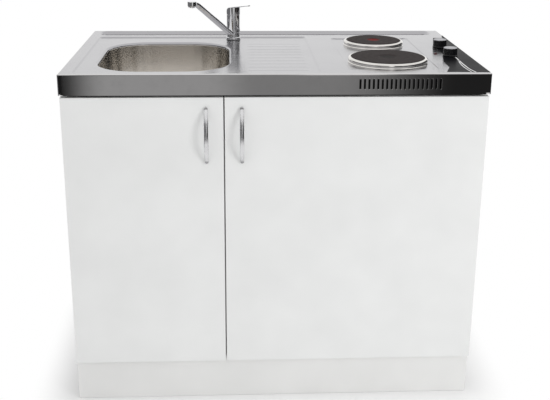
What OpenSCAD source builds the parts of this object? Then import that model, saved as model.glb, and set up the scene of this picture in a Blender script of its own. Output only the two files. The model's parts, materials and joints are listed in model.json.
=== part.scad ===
// Kitchenette: a two-door base cabinet under a pressed steel top with a sink, a drainer and a
// two-plate electric hob. Millimetres, Z up. Every module draws in the unit frame: X 0 is the
// middle, Y 0 is the front of the apron, Z 0 is the floor. unit() then moves the whole so that the
// origin is the middle of the footprint, on the floor.

/* [Overall] */
// Width over the two side aprons
unit_w = 1000; // [960:20:1400]
// Depth from the apron to the back edge
unit_d = 600; // [600:10:720]
// Height of the worktop above the floor
unit_h = 850; // [800:10:1020]

/* [Cabinet] */
// Thickness of the side panels, divider, floor and shelf
panel_t = 16; // [15:1:20]
// Thickness of the back panel
back_t = 3; // [3:1:5]
// Height of the plinth and of the underside of the cupboard floor
plinth_h = 110; // [80:5:150]
// Height of the shelf above the cupboard floor
shelf_z = 300; // [200:20:360]
// Thickness of the battens under the steel top
batten_t = 16; // [12:1:20]

/* [Doors] */
// Thickness of a door
door_t = 18; // [18:1:22]
// Distance from the left end to the middle of the gap between the doors
door_split = 378; // [360:5:480]
// Gap between the two doors
door_gap = 3; // [2:0.5:5]
// Setback of the doors behind the apron
door_setback = 3; // [2:1:6]
// Gap between the apron and the top of the doors
door_top_gap = 6; // [4:1:10]
// Distance of a hinge from the door's top or bottom edge
hinge_inset = 95; // [80:5:140]

/* [Handles] */
// Distance between a handle's two screws
handle_pitch = 128; // [96:32:160]
// Height of a handle's bow above the door
handle_rise = 28; // [24:1:36]
// Width of a handle
handle_w = 10; // [8:1:14]
// Distance from a handle to the edge of its door at the gap
handle_inset = 40; // [30:1:60]
// Distance from the top of a door to a handle's middle
handle_drop = 90; // [85:5:140]

/* [Steel top] */
// Thickness of the steel sheet
sheet_t = 0.8; // [0.6:0.1:1.2]
// Height of the front and side aprons
apron_h = 50; // [48:1:70]
// Depth of the shallow recess round the bowl and drainer
recess_depth = 2.5; // [1.5:0.5:4]
// Depth of the trough along the back edge
trough_depth = 9; // [6:1:10]
// Number of vent slots in the apron
slot_count = 19; // [9:1:21]
// Distance between two vent slots
slot_pitch = 10.4; // [9:0.1:12]
// Width of a vent slot
slot_w = 4.5; // [3:0.5:6]
// Height of a vent slot
slot_h = 25; // [16:1:30]
// Number of ribs on the drainer
rib_count = 10; // [4:1:12]

/* [Sink] */
// Width of the bowl
bowl_w = 316; // [300:2:340]
// Depth of the bowl from front to back
bowl_d = 376; // [320:2:390]
// How deep the bowl is
bowl_depth = 150; // [120:5:180]
// Corner radius of the bowl in plan
bowl_r = 105; // [60:5:140]
// Radius between the bowl's walls and its bottom
bowl_fillet = 40; // [20:5:50]
// Radius of the waste pipe
pipe_r = 20; // [16:0.5:20]

/* [Tap] */
// Radius of the tap's body
tap_r = 18.8; // [18:0.2:21]
// Height of the top of the tap's body above the steel
tap_h = 69.6; // [60:0.2:90]
// Reach of the spout from the tap's axis
spout_reach = 181; // [150:1:220]
// Height of the top of the spout above the steel
spout_h = 124; // [110:1:150]
// Length of the lever from the tap's axis
lever_l = 85; // [60:1:110]

/* [Hob] */
// Diameter of the front plate
front_plate_d = 180; // [145:5:190]
// Diameter of the rear plate
rear_plate_d = 145; // [140:5:175]
// Diameter of a knob
knob_d = 38; // [26:1:40]
// Height of a knob above the steel
knob_h = 22; // [16:1:28]

/* [Hidden] */
$fn = 64;

// Clearances
fit = 0.3;         // pieces that lie side by side
run = 0.05;        // radial clearance of a shaft in its bore
swivel_run = 0.08; // radial clearance of the spout's ring on the tap's core
screw_play = 0.1;  // radial clearance of a screw in its hole
cut = 1;           // how far a cutting shape stands out of what it cuts

// Cabinet
side_gap = 0.5;                                  // side panel to side apron
half_w = unit_w / 2 - sheet_t - side_gap;        // outside of the cabinet
inner_w = half_w - panel_t;
batten_top = unit_h - sheet_t;
panel_top = batten_top - batten_t;
door_gap_back = 2;                               // door to cabinet front
cab_front = door_setback + door_t + door_gap_back;
cab_back = unit_d - back_t;
floor_top = plinth_h + panel_t;
split_x = door_split - unit_w / 2;
rail_h = 90;
stretcher_t = 2;
stretcher_h = 58;
batten_w = 25;
trough_y = unit_d - 77;                          // front edge of the rear trough
trough_back = 6;
shelf_setback = 40;
pin_r = 2.5;
pipe_cutout = [180, 220];

// Doors
door_edge = 1.2;                                 // door edge in from the cabinet's outside
door_top = unit_h - apron_h - door_top_gap;
door_bottom = plinth_h + 2;
door_h = door_top - door_bottom;
handle_z = door_top - handle_drop;
left_handle_x = split_x - door_gap / 2 - handle_inset;
right_handle_x = split_x + door_gap / 2 + handle_inset;
hinge_zs = [door_bottom + hinge_inset, door_top - hinge_inset];
buffer_r = 5;
buffer_drop = 6;                                 // upper buffer below the door's top

// Concealed hinge, seen from above: u runs in from the cabinet's outside, v forward of its front
link_pivot = [34, -4];
cup_pivot = [9.8, 3.6];
hinge_pin_r = 1.5;
cup_u = 22;
cup_r = 17.5;
cup_depth = 11.5;
cup_wall = 1;
link_half = 5;
arm_half = 8;
plate_screw_z = 16;
plate_screw_v = -37;
cup_screw_z = 22.5;

// Steel top
left_x = -unit_w / 2;
right_x = unit_w / 2;
recess_left = 30;                                // from the left end
recess_front = 14;
recess_back = 100;                               // from the back edge
hob_x = right_x - 220;                           // middle of the two plates
hob_w = 215;
hob_depth = 2;
recess_right = hob_x - hob_w / 2 - 68;           // as an X place
recess_z = unit_h - recess_depth;
hem = 10;
rib_w = 5;
rib_h = 1.2;
slot_x = right_x - 213;                          // middle of the row of vent slots
slot_z = unit_h - 25;

// Sink
bowl_x = left_x + 74 + bowl_w / 2;
bowl_y = 45 + bowl_d / 2;
bowl_t = 1;
bowl_floor = recess_z - bowl_depth;
bowl_room = 8;                                   // bowl to the notch in the divider
bowl_sx = bowl_w / 2 - bowl_r;
bowl_sy = bowl_d / 2 - bowl_r;
waste_r = 45;                                    // hole in the bowl
flange_r = 57;
flange_t = 1.5;
cup_in_r = 42;                                   // inside of the strainer cup
strainer_cup_depth = 42;
basket_r = 40.5;
basket_depth = 30;
basket_t = 1.2;
post_r = 5;
outlet_top = bowl_floor - strainer_cup_depth;
outlet_bottom = outlet_top - 30;
trap_z = bowl_floor - 225;                       // underside of the trap's cup
trap_r = 32;
trap_h = 100;
waste_z = bowl_floor - 145;                      // axis of the waste pipe
pipe_wall = 2;

// Tap
tap_x = left_x + 402;
tap_y = unit_d - 130;
tap_hole_r = 17.5;
core_r = 15;
ring_r = tap_r + 1.2;
ring_h = 8;
swivel_h = 12;
pivot_z = tap_h - 7.6;                           // lever pivot above the steel
dome_r = 17.6;
cap_r = tap_r + 0.7;
cap_in_r = dome_r + 0.5;
cap_h = 22;
lever_turn = -60;                                // lever's direction from +X
lever_rise = 9.3;
lift_angle = 20;
spout_turn = -126;                               // spout's direction from +X
tip_h = 12;                                      // height of the spout's outlet
shank_l = 45;
tail_l = 28;
tail_thread_r = 4.6;

// Hob
front_y = 149;
rear_y = unit_d - 214;
plate_zs = unit_h - hob_depth;
plate_rise = 12.5;
skirt_drop = 12;
ring_rise = 12.2;
ring_foot = 8.5;                                 // spill ring's foot out from the plate
hob_y0 = front_y - front_plate_d / 2 - ring_foot - 4.5;
hob_y1 = rear_y + rear_plate_d / 2 + ring_foot + 4.5;
switch_x = right_x - 51;
knob_ys = [208, 327];
switch_size = [40, 42, 32];
shaft_r = 3;
lamp_pos = [right_x - 82, 235];
lamp_r = 5.5;
film_t = 0.3;
terminal_x = 30;
terminal_y = 14;
terminal_size = [24, 14, 10];
tray_x0 = hob_x - hob_w / 2 - 8;
tray_x1 = hob_x + hob_w / 2 + 7;
tray_y0 = hob_y0 - 6;
tray_y1 = hob_y1 + 6;
tray_z = unit_h - 64;
tray_t = 1;
box_size = [80, 40, 55];
box_x = right_x - 200;
box_z = panel_top - 75;
gland_r = 8;
gland_bore_r = 5.5;
gland_head = 18;
gland_thread = 8;
wire_r = 2.2;
grommet_r = 3.5;
clamp_reach = 6;                                 // clamp's ends out from the plate

// Places the unit frame so that the origin is the middle of the footprint, handles included
handle_out = handle_rise - door_setback;
module unit() {
    translate([0, (handle_out - unit_d) / 2, 0]) children();
}

// ---------- shared shapes ----------

// Rectangle from one corner to the other with round corners
module round_rect(x0, y0, x1, y1, r) {
    translate([x0 + r, y0]) square([x1 - x0 - 2 * r, y1 - y0]);
    translate([x0, y0 + r]) square([x1 - x0, y1 - y0 - 2 * r]);
    for (x = [x0 + r, x1 - r], y = [y0 + r, y1 - r])
        translate([x, y]) circle(r = r);
}

module ring(r_out, r_in, z0, z1) {
    translate([0, 0, z0])
        linear_extrude(z1 - z0)
            difference() {
                circle(r = r_out);
                circle(r = r_in);
            }
}

module panel(x0, x1, y0, y1, z0, z1) {
    translate([x0, y0, z0]) cube([x1 - x0, y1 - y0, z1 - z0]);
}

// Cylinder between two points
module rod(a, b, r) {
    d = b - a;
    l = norm(d);
    translate(a)
        rotate([0, acos(d[2] / l), atan2(d[1], d[0])])
            cylinder(r = r, h = l);
}

// Tube of round wire along a list of points, each bend in a small ball
module wire(points, r) {
    for (i = [1:len(points) - 1]) rod(points[i - 1], points[i], r);
    for (i = [1:len(points) - 2]) translate(points[i]) sphere(r = r + 0.2);
}

// ---------- cabinet ----------

// Panel screws: [height, depth] on both side panels
screw_shank_r = 3.4;
screw_head_r = 5;
screw_head_t = 3;
screw_l = 45;
side_screws = [
    [plinth_h + panel_t / 2, cab_front + 40],
    [plinth_h + panel_t / 2, unit_d / 2],
    [plinth_h + panel_t / 2, cab_back - 50],
    [panel_top - rail_h / 2, cab_back - panel_t / 2],
    [plinth_h / 2, cab_front + panel_t / 2]
];

// One panel screw from the outside of the cabinet inwards, with extra play when it is a hole
module side_screw(side, place, play) {
    translate([side * half_w, place[1], place[0]])
        rotate([0, -side * 90, 0]) {
            translate([0, 0, play > 0 ? -cut : 0])
                cylinder(r = screw_head_r + play, h = screw_head_t + (play > 0 ? cut : 0));
            cylinder(r = screw_shank_r + play, h = screw_l + play);
        }
}

module all_side_screws(play) {
    for (side = [-1, 1], place = side_screws) side_screw(side, place, play);
}

// Places its children at the four hinges: x runs in from the outside, -y forward of the front
module at_hinge(side) {
    for (z = hinge_zs)
        if (side < 0) translate([-half_w, cab_front, z]) children();
        else mirror([1, 0, 0]) translate([-half_w, cab_front, z]) children();
}

module at_plate_screws() {
    for (z = [-plate_screw_z, plate_screw_z])
        translate([panel_t, -plate_screw_v, z]) rotate([0, 90, 0]) children();
}

plate_t = 2.5;
plate_screw_r = 2;
plate_screw_l = 12;

module plate_screw_holes(side) {
    at_hinge(side) at_plate_screws()
        translate([0, 0, -plate_screw_l - screw_play])
            cylinder(r = plate_screw_r + screw_play, h = plate_screw_l + plate_t + cut);
}

module side_panel(side) {
    x0 = side < 0 ? -half_w : half_w - panel_t;
    color("white")
    difference() {
        panel(x0, x0 + panel_t, cab_front, cab_back, 0, panel_top);
        for (place = side_screws) side_screw(side, place, screw_play);
        plate_screw_holes(side);
        if (side > 0) shelf_pin_holes();
    }
}

module left_side_panel() {
    unit() side_panel(-1);
}

module right_side_panel() {
    unit() side_panel(1);
}

// Divider behind the meeting line of the doors, notched for the bowl that reaches across it and
// for the shank and the tails of the tap
module divider_panel() {
    color("white")
    unit()
        difference() {
            panel(split_x - panel_t / 2, split_x + panel_t / 2, cab_front, cab_back,
                  floor_top, panel_top);
            panel(split_x - panel_t, split_x + panel_t, cab_front - cut,
                  bowl_y + bowl_d / 2 + bowl_t + bowl_room, bowl_floor - bowl_t - bowl_room,
                  panel_top + cut);
            panel(split_x - panel_t, split_x + panel_t, cab_front - cut,
                  tap_y + core_r + bowl_room, recess_z - shank_l - tail_l - bowl_room,
                  panel_top + cut);
            shelf_pin_holes();
            floor_screws(screw_play);
        }
}

module cupboard_floor() {
    color("white")
    unit()
        difference() {
            panel(-inner_w, inner_w, cab_front, cab_back, plinth_h, floor_top);
            all_side_screws(screw_play);
            floor_screws(screw_play);
        }
}

// Two screws up through the cupboard floor into the divider
module floor_screws(play) {
    for (y = [cab_front + 60, cab_back - 60])
        translate([split_x, y, plinth_h]) {
            translate([0, 0, play > 0 ? -cut : 0])
                cylinder(r = screw_head_r + play, h = screw_head_t + (play > 0 ? cut : 0));
            cylinder(r = screw_shank_r + play, h = screw_l + play);
        }
}

module back_panel() {
    color("white")
    unit()
        difference() {
            panel(-half_w, half_w, cab_back, unit_d, plinth_h, panel_top);
            translate([bowl_x - pipe_cutout[0] / 2, cab_back - cut,
                       waste_z - pipe_cutout[1] / 2])
                cube([pipe_cutout[0], back_t + 2 * cut, pipe_cutout[1]]);
        }
}

module plinth_board() {
    color("white")
    unit()
        difference() {
            panel(-inner_w, inner_w, cab_front, cab_front + panel_t, 0, plinth_h);
            all_side_screws(screw_play);
        }
}

// Steel strip behind the apron with a tab at each end, in front of the bowl
module front_stretcher() {
    tab = 14;
    z0 = panel_top - stretcher_h;
    color("silver")
    unit() {
        panel(-inner_w, inner_w, cab_front, cab_front + stretcher_t, z0, panel_top);
        for (x = [-inner_w, inner_w - stretcher_t])
            panel(x, x + stretcher_t, cab_front, cab_front + tab, z0, panel_top);
    }
}

module rear_rails() {
    color("white")
    unit()
        difference() {
            for (span = [[-inner_w, split_x - panel_t / 2], [split_x + panel_t / 2, inner_w]])
                panel(span[0], span[1], cab_back - panel_t, cab_back,
                      panel_top - rail_h, panel_top);
            all_side_screws(screw_play);
        }
}

module worktop_battens() {
    rear_t = batten_t - trough_depth;
    mid_x = recess_right + 13;
    front = cab_front + 1;
    back = trough_y - 8;
    color("burlywood")
    unit() {
        panel(-half_w, -half_w + batten_w, front, back, panel_top, batten_top);
        panel(half_w - batten_w, half_w, front, back, panel_top, batten_top);
        panel(mid_x, mid_x + 38, front, back, panel_top, batten_top);
        panel(-half_w, half_w, trough_y - 3, cab_back, panel_top, panel_top + rear_t);
    }
}

shelf_x0 = split_x + panel_t / 2 + 1;
shelf_x1 = inner_w - 1;
shelf_under = floor_top + shelf_z;

module shelf() {
    color("white")
    unit() panel(shelf_x0, shelf_x1, cab_front + shelf_setback, cab_back - 2,
                 shelf_under, shelf_under + panel_t);
}

// Four pins in the divider and the right side panel that the shelf lies on
module shelf_pin_places() {
    for (y = [cab_front + shelf_setback + 50, cab_back - 60]) {
        translate([split_x + panel_t / 2, y, shelf_under - pin_r]) rotate([0, 90, 0]) children();
        translate([inner_w, y, shelf_under - pin_r]) rotate([0, -90, 0]) children();
    }
}

pin_in = 8;
pin_out = 9;

module shelf_pin_holes() {
    shelf_pin_places()
        translate([0, 0, -pin_in - screw_play]) cylinder(r = pin_r + screw_play, h = pin_in + cut);
}

module shelf_pins() {
    color("silver")
    unit() shelf_pin_places() translate([0, 0, -pin_in]) cylinder(r = pin_r, h = pin_in + pin_out);
}

module cabinet_screws() {
    color("silver")
    unit() {
        all_side_screws(0);
        floor_screws(0);
        for (side = [-1, 1])
            at_hinge(side) at_plate_screws() {
                translate([0, 0, -plate_screw_l]) cylinder(r = plate_screw_r, h = plate_screw_l + plate_t);
                translate([0, 0, plate_t]) cylinder(r = 3.8, h = 2);
            }
    }
}

// ---------- hinges ----------

module hinge_plates() {
    color("silver")
    unit()
        for (side = [-1, 1])
            difference() {
                at_hinge(side)
                    translate([panel_t, -plate_screw_v - 15, -24]) cube([plate_t, 30, 48]);
                plate_screw_holes(side);
            }
}

// Arm from the mounting plate to the link's pivot, forked round the link, with its rivet
module hinge_arms() {
    in0 = panel_t + plate_t;
    color("silver")
    unit()
        for (side = [-1, 1])
            at_hinge(side) {
                difference() {
                    translate([0, 0, -arm_half])
                        linear_extrude(2 * arm_half) {
                            polygon([[in0, 58], [in0, 22], [30.6, 6], [38, 4], [38, 7],
                                     [30, 24], [27.5, 58]]);
                            translate([link_pivot[0], -link_pivot[1]]) circle(r = 4);
                        }
                    translate([0, -10, -link_half - fit]) cube([60, 22, 2 * (link_half + fit)]);
                }
                translate([link_pivot[0], -link_pivot[1], -arm_half])
                    cylinder(r = hinge_pin_r, h = 2 * arm_half);
            }
}

// Arched link between the two pivots
module hinge_link() {
    p = [link_pivot[0], -link_pivot[1]];
    q = [cup_pivot[0], -cup_pivot[1]];
    difference() {
        translate([0, 0, -link_half])
            linear_extrude(2 * link_half) {
                translate(p) circle(r = 3.4);
                translate(q) circle(r = 2.6);
                polygon([[q[0] + 0.4, q[1] - 2.2], [18.5, -6.6], [27.5, -4.6], [36.2, 2.2],
                         [32.2, 5.6], [26.6, -1.8], [18.2, -3.8], [q[0] - 0.2, q[1] + 1.2]]);
            }
        for (c = [p, q])
            translate([c[0], c[1], -link_half - cut])
                cylinder(r = hinge_pin_r + run, h = 2 * (link_half + cut));
    }
}

module left_hinge_links() {
    color("silver")
    unit() at_hinge(-1) hinge_link();
}

module right_hinge_links() {
    color("silver")
    unit() at_hinge(1) hinge_link();
}

// Pressed cup in the back of the door, with its flange, ears and rivet
module hinge_cup() {
    rim = door_gap_back - 1;
    ear = 3;
    q = [cup_pivot[0], -cup_pivot[1]];
    difference() {
        union() {
            translate([cup_u, -rim, 0])
                rotate([90, 0, 0]) {
                    cylinder(r = cup_r, h = cup_depth + 1);
                    cylinder(r = cup_r + 1.5, h = 1);
                }
            translate([cup_u - 8, -rim - 1, -cup_screw_z - 5]) cube([18, 1, 2 * (cup_screw_z + 5)]);
        }
        translate([cup_u, -rim + cut, 0])
            rotate([90, 0, 0]) cylinder(r = cup_r - cup_wall, h = cup_depth + cut);
        for (z = [-cup_screw_z, cup_screw_z])
            translate([cup_u, -rim + cut, z])
                rotate([90, 0, 0]) cylinder(r = 2 + screw_play, h = 1 + 2 * cut);
    }
    intersection() {
        translate([cup_u, -rim, 0])
            rotate([90, 0, 0]) cylinder(r = cup_r - cup_wall / 2, h = cup_depth);
        for (z = [-link_half - fit - ear, link_half + fit])
            translate([q[0] - 5, q[1] - 4, z]) cube([8, 6.6, ear]);
    }
    translate([q[0], q[1], -link_half - fit - ear])
        cylinder(r = hinge_pin_r, h = 2 * (link_half + fit + ear));
}

module left_hinge_cups() {
    color("silver")
    unit() at_hinge(-1) hinge_cup();
}

module right_hinge_cups() {
    color("silver")
    unit() at_hinge(1) hinge_cup();
}

// ---------- doors ----------

door_screw_r = 2;

// Screws of one side's cups, as solids or with play as holes, pointing into the door
module cup_screws(side, play) {
    at_hinge(side)
        for (z = [-cup_screw_z, cup_screw_z])
            translate([cup_u, -door_gap_back, z]) rotate([90, 0, 0])
                cylinder(r = door_screw_r + play, h = 11 + play);
}

// Screws of one handle, through the door into the handle's feet
module handle_screws(x, play) {
    for (z = [-handle_pitch / 2, handle_pitch / 2])
        translate([x, door_setback + door_t, handle_z + z]) rotate([90, 0, 0]) {
            cylinder(r = door_screw_r + play, h = door_t + 6 + play);
            if (play == 0) translate([0, 0, -1.5]) cylinder(r = 3.8, h = 1.5);
        }
}

module door(side) {
    x0 = side < 0 ? -half_w + door_edge : split_x + door_gap / 2;
    x1 = side < 0 ? split_x - door_gap / 2 : half_w - door_edge;
    color("white")
    difference() {
        panel(x0, x1, door_setback, door_setback + door_t, door_bottom, door_top);
        at_hinge(side)
            translate([cup_u, 0, 0]) rotate([90, 0, 0])
                cylinder(r = cup_r + screw_play, h = door_gap_back + cup_depth + fit);
        cup_screws(side, screw_play);
        handle_screws(side < 0 ? left_handle_x : right_handle_x, screw_play);
    }
}

module left_door() {
    unit() door(-1);
}

module right_door() {
    unit() door(1);
}

// Bow handle: an arc of one radius with a rounded section, on two round feet
module handle(x) {
    foot_r = 4;
    chord = handle_pitch + 8;
    rise = handle_rise - 2.5;
    bow_r = (chord * chord / 4 + rise * rise) / (2 * rise);
    half_angle = asin(chord / 2 / bow_r);
    difference() {
        union() {
            translate([x, door_setback - rise + bow_r, handle_z])
                rotate([0, 90, 0]) rotate([0, 0, -90 - half_angle])
                    rotate_extrude(angle = 2 * half_angle, $fn = 128)
                        translate([bow_r, 0])
                            intersection() {
                                translate([-2.5, -handle_w / 2]) square([5, handle_w]);
                                translate([-handle_w + 2.5, 0]) circle(r = handle_w);
                            }
            for (z = [-handle_pitch / 2, handle_pitch / 2])
                translate([x, door_setback, handle_z + z])
                    rotate([90, 0, 0]) cylinder(r = foot_r, h = 7);
        }
        panel(x - handle_w, x + handle_w, door_setback, door_setback + 10,
              handle_z - chord, handle_z + chord);
        handle_screws(x, screw_play);
    }
}

module left_handle() {
    color("silver")
    unit() handle(left_handle_x);
}

module right_handle() {
    color("silver")
    unit() handle(right_handle_x);
}

module door_screws(side) {
    cup_screws(side, 0);
    at_hinge(side)
        for (z = [-cup_screw_z, cup_screw_z])
            translate([cup_u, -0.2, z]) rotate([90, 0, 0]) cylinder(r = 3, h = 0.8);
    handle_screws(side < 0 ? left_handle_x : right_handle_x, 0);
}

module left_door_screws() {
    color("silver")
    unit() door_screws(-1);
}

module right_door_screws() {
    color("silver")
    unit() door_screws(1);
}

// Soft dots at the free corners of a door, where it meets the cupboard floor and the stretcher
module buffers(x) {
    for (z = [plinth_h + panel_t / 2, door_top - buffer_drop])
        translate([x, door_setback + door_t, z])
            rotate([-90, 0, 0]) cylinder(r = buffer_r, h = door_gap_back - fit);
}

module left_door_buffers() {
    color("gainsboro")
    unit() buffers(split_x - door_gap / 2 - buffer_r - 0.5);
}

module right_door_buffers() {
    color("gainsboro")
    unit() buffers(split_x + door_gap / 2 + buffer_r + 0.5);
}

// ---------- steel top ----------

module bowl_outline(grow) {
    round_rect(bowl_x - bowl_w / 2 - grow, bowl_y - bowl_d / 2 - grow,
               bowl_x + bowl_w / 2 + grow, bowl_y + bowl_d / 2 + grow, bowl_r + grow);
}

module recess_outline(grow) {
    round_rect(left_x + recess_left - grow, recess_front - grow, recess_right + grow,
               unit_d - recess_back + grow, 12 + grow);
}

module trough_outline(grow) {
    round_rect(left_x + 24 - grow, trough_y - grow, right_x - 30 + grow,
               unit_d - trough_back + grow, 22 + grow);
}

module hob_outline(grow) {
    round_rect(hob_x - hob_w / 2 - grow, hob_y0 - grow, hob_x + hob_w / 2 + grow,
               hob_y1 + grow, 14 + grow);
}

// Openings in the sheet: bowl, tap, plates, knob shafts and lamp
module sheet_holes() {
    bowl_outline(0);
    translate([tap_x, tap_y]) circle(r = tap_hole_r);
    translate([hob_x, front_y]) circle(r = front_plate_d / 2 + 1.5);
    translate([hob_x, rear_y]) circle(r = rear_plate_d / 2 + 1.5);
    for (y = knob_ys) translate([switch_x, y]) circle(r = shaft_r + 1);
    translate(lamp_pos) circle(r = lamp_r - 1);
}

// Pressed pan: a floor at depth with a wall up to the level of the top
module pan(depth) {
    translate([0, 0, unit_h - depth - sheet_t])
        linear_extrude(sheet_t)
            difference() {
                children(0);
                sheet_holes();
            }
    translate([0, 0, unit_h - depth - sheet_t])
        linear_extrude(depth + sheet_t)
            difference() {
                children(0);
                children(1);
            }
}

module vent_slots() {
    for (i = [0:slot_count - 1])
        translate([slot_x + (i - (slot_count - 1) / 2) * slot_pitch, -cut, slot_z]) {
            translate([-slot_w / 2, 0, -slot_h / 2 + slot_w / 2])
                cube([slot_w, sheet_t + 2 * cut, slot_h - slot_w]);
            for (z = [-1, 1])
                translate([0, 0, z * (slot_h - slot_w) / 2])
                    rotate([-90, 0, 0]) cylinder(r = slot_w / 2, h = sheet_t + 2 * cut, $fn = 24);
        }
}

// Ribs that run the water on the drainer back to the bowl
module drainer_ribs() {
    x0 = bowl_x + bowl_w / 2 + 45;
    x1 = recess_right - 22;
    y0 = recess_front + 38;
    y1 = tap_y - 75;
    for (i = [0:rib_count - 1])
        panel(x0, x1, y0 + (y1 - y0) * i / (rib_count - 1) - rib_w / 2,
              y0 + (y1 - y0) * i / (rib_count - 1) + rib_w / 2, recess_z, recess_z + rib_h);
}

module worktop_sheet() {
    color("lightsteelblue")
    unit() {
        difference() {
            union() {
                translate([0, 0, batten_top])
                    linear_extrude(sheet_t)
                        difference() {
                            translate([left_x, 0]) square([unit_w, unit_d]);
                            recess_outline(-sheet_t);
                            trough_outline(-sheet_t);
                            hob_outline(-sheet_t);
                            sheet_holes();
                        }
                pan(recess_depth) {
                    recess_outline(0);
                    recess_outline(-sheet_t);
                }
                pan(trough_depth) {
                    trough_outline(0);
                    trough_outline(-sheet_t);
                }
                pan(hob_depth) {
                    hob_outline(0);
                    hob_outline(-sheet_t);
                }
                panel(left_x, right_x, 0, sheet_t, unit_h - apron_h, unit_h);
                panel(left_x, right_x, 0, hem, unit_h - apron_h, unit_h - apron_h + sheet_t);
                for (x = [left_x, right_x - sheet_t])
                    panel(x, x + sheet_t, 0, unit_d, unit_h - apron_h, unit_h);
                panel(left_x, right_x, unit_d - sheet_t, unit_d, unit_h - hem, unit_h);
                drainer_ribs();
            }
            vent_slots();
        }
    }
}

// Section of the bowl's wall, fillet and bottom, out from a corner's axis
module bowl_section() {
    translate([bowl_r, -bowl_depth + bowl_fillet])
        square([bowl_t, bowl_depth - bowl_fillet - sheet_t]);
    translate([bowl_r - bowl_fillet, -bowl_depth + bowl_fillet])
        intersection() {
            difference() {
                circle(r = bowl_fillet + bowl_t);
                circle(r = bowl_fillet);
            }
            translate([0, -bowl_fillet - bowl_t]) square(bowl_fillet + bowl_t);
        }
    translate([0, -bowl_depth - bowl_t]) square([bowl_r - bowl_fillet, bowl_t]);
}

module sink_bowl() {
    color("lightgray")
    unit()
        translate([bowl_x, bowl_y, recess_z])
            difference() {
                union() {
                    for (q = [0:3])
                        translate([(q == 0 || q == 3 ? 1 : -1) * bowl_sx,
                                   (q < 2 ? 1 : -1) * bowl_sy, 0])
                            rotate([0, 0, q * 90])
                                rotate_extrude(angle = 90, $fn = 96) bowl_section();
                    for (turn = [0, 180])
                        rotate([0, 0, turn]) {
                            translate([bowl_sx, bowl_sy, 0])
                                rotate([90, 0, 0]) linear_extrude(2 * bowl_sy) bowl_section();
                            translate([-bowl_sx, bowl_sy, 0])
                                rotate([90, 0, 90]) linear_extrude(2 * bowl_sx) bowl_section();
                        }
                    translate([-bowl_sx, -bowl_sy, -bowl_depth - bowl_t])
                        cube([2 * bowl_sx, 2 * bowl_sy, bowl_t]);
                }
                translate([0, 0, -bowl_depth - bowl_t - cut])
                    cylinder(r = waste_r, h = bowl_t + 2 * cut);
            }
}

// ---------- waste ----------

module at_waste() {
    unit() translate([bowl_x, bowl_y, 0]) children();
}

// Strainer cup that hangs in the bowl's hole, with its outlet stub
module waste_flange() {
    color("silver")
    at_waste() {
        ring(flange_r, cup_in_r, bowl_floor, bowl_floor + flange_t);
        ring(cup_in_r + 1.5, cup_in_r, outlet_top, bowl_floor);
        ring(cup_in_r + 1.5, pipe_r - pipe_wall, outlet_top, outlet_top + 1.5);
        ring(pipe_r, pipe_r - pipe_wall, outlet_bottom, outlet_top + 1.5);
    }
}

// Basket with a rim that lies on the flange, a ring of holes and a post to lift it by
module basket_strainer() {
    top = bowl_floor + flange_t + fit;
    hole_count = 8;
    color("silver")
    at_waste() {
        ring(cup_in_r + 4, basket_r - basket_t, top, top + basket_t);
        ring(basket_r, basket_r - basket_t, top - basket_depth, top + basket_t);
        difference() {
            translate([0, 0, top - basket_depth]) cylinder(r = basket_r, h = basket_t);
            for (i = [0:hole_count - 1])
                rotate([0, 0, i * 360 / hole_count])
                    translate([24, 0, top - basket_depth - cut])
                        cylinder(r = 3, h = basket_t + 2 * cut, $fn = 24);
        }
        translate([0, 0, top - basket_depth]) cylinder(r = post_r, h = basket_depth + 6);
        translate([0, 0, top + 4]) cylinder(r = 9, h = 5);
    }
}

seal_t = 2.5;

module sink_seals() {
    color("dimgray") {
        at_waste() ring(flange_r - 1, waste_r, bowl_floor - bowl_t - seal_t, bowl_floor - bowl_t);
        at_tap() ring(ring_r - 1, tap_hole_r, 0, 1.2);
    }
}

// Lock nut under the bowl and two coupling nuts on the pipes
module waste_nuts() {
    nut_in = pipe_r + fit;
    color("gray")
    at_waste() {
        ring(flange_r, cup_in_r + 1.5 + fit, bowl_floor - bowl_t - seal_t - 10,
             bowl_floor - bowl_t - seal_t);
        ring(nut_in + 6, nut_in, outlet_bottom - 12, outlet_bottom + 14);
        translate([0, trap_r + fit, waste_z]) rotate([-90, 0, 0])
            ring(nut_in + 6, nut_in, 6, 28);
    }
}

module waste_tailpipe() {
    color("white")
    at_waste() ring(pipe_r, pipe_r - pipe_wall, trap_z + 30, outlet_bottom - fit);
}

// Bottle trap: a cylinder with a closed top that the tailpipe dips into, and a side outlet
module trap_body() {
    bottom = trap_z + 24;
    top = trap_z + trap_h;
    color("white")
    at_waste()
        difference() {
            union() {
                translate([0, 0, bottom]) cylinder(r = trap_r, h = top - bottom);
                translate([0, 0, top]) cylinder(r = pipe_r + fit + 4, h = 14);
                translate([0, 0, waste_z]) rotate([-90, 0, 0])
                    cylinder(r = pipe_r - pipe_wall - 0.2, h = trap_r + 12);
            }
            translate([0, 0, bottom - cut]) cylinder(r = trap_r - pipe_wall, h = top - bottom - 2);
            translate([0, 0, bottom]) cylinder(r = pipe_r + fit, h = trap_h);
            translate([0, 0, waste_z]) rotate([-90, 0, 0])
                cylinder(r = pipe_r - 2 * pipe_wall - 0.2, h = trap_r + 12 + cut);
        }
}

module trap_cup() {
    color("white")
    at_waste()
        difference() {
            translate([0, 0, trap_z]) cylinder(r = trap_r + 4, h = 30);
            translate([0, 0, trap_z + 3]) cylinder(r = trap_r - pipe_wall, h = 30);
            translate([0, 0, trap_z + 22]) cylinder(r = trap_r + fit, h = 30);
        }
}

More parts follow.
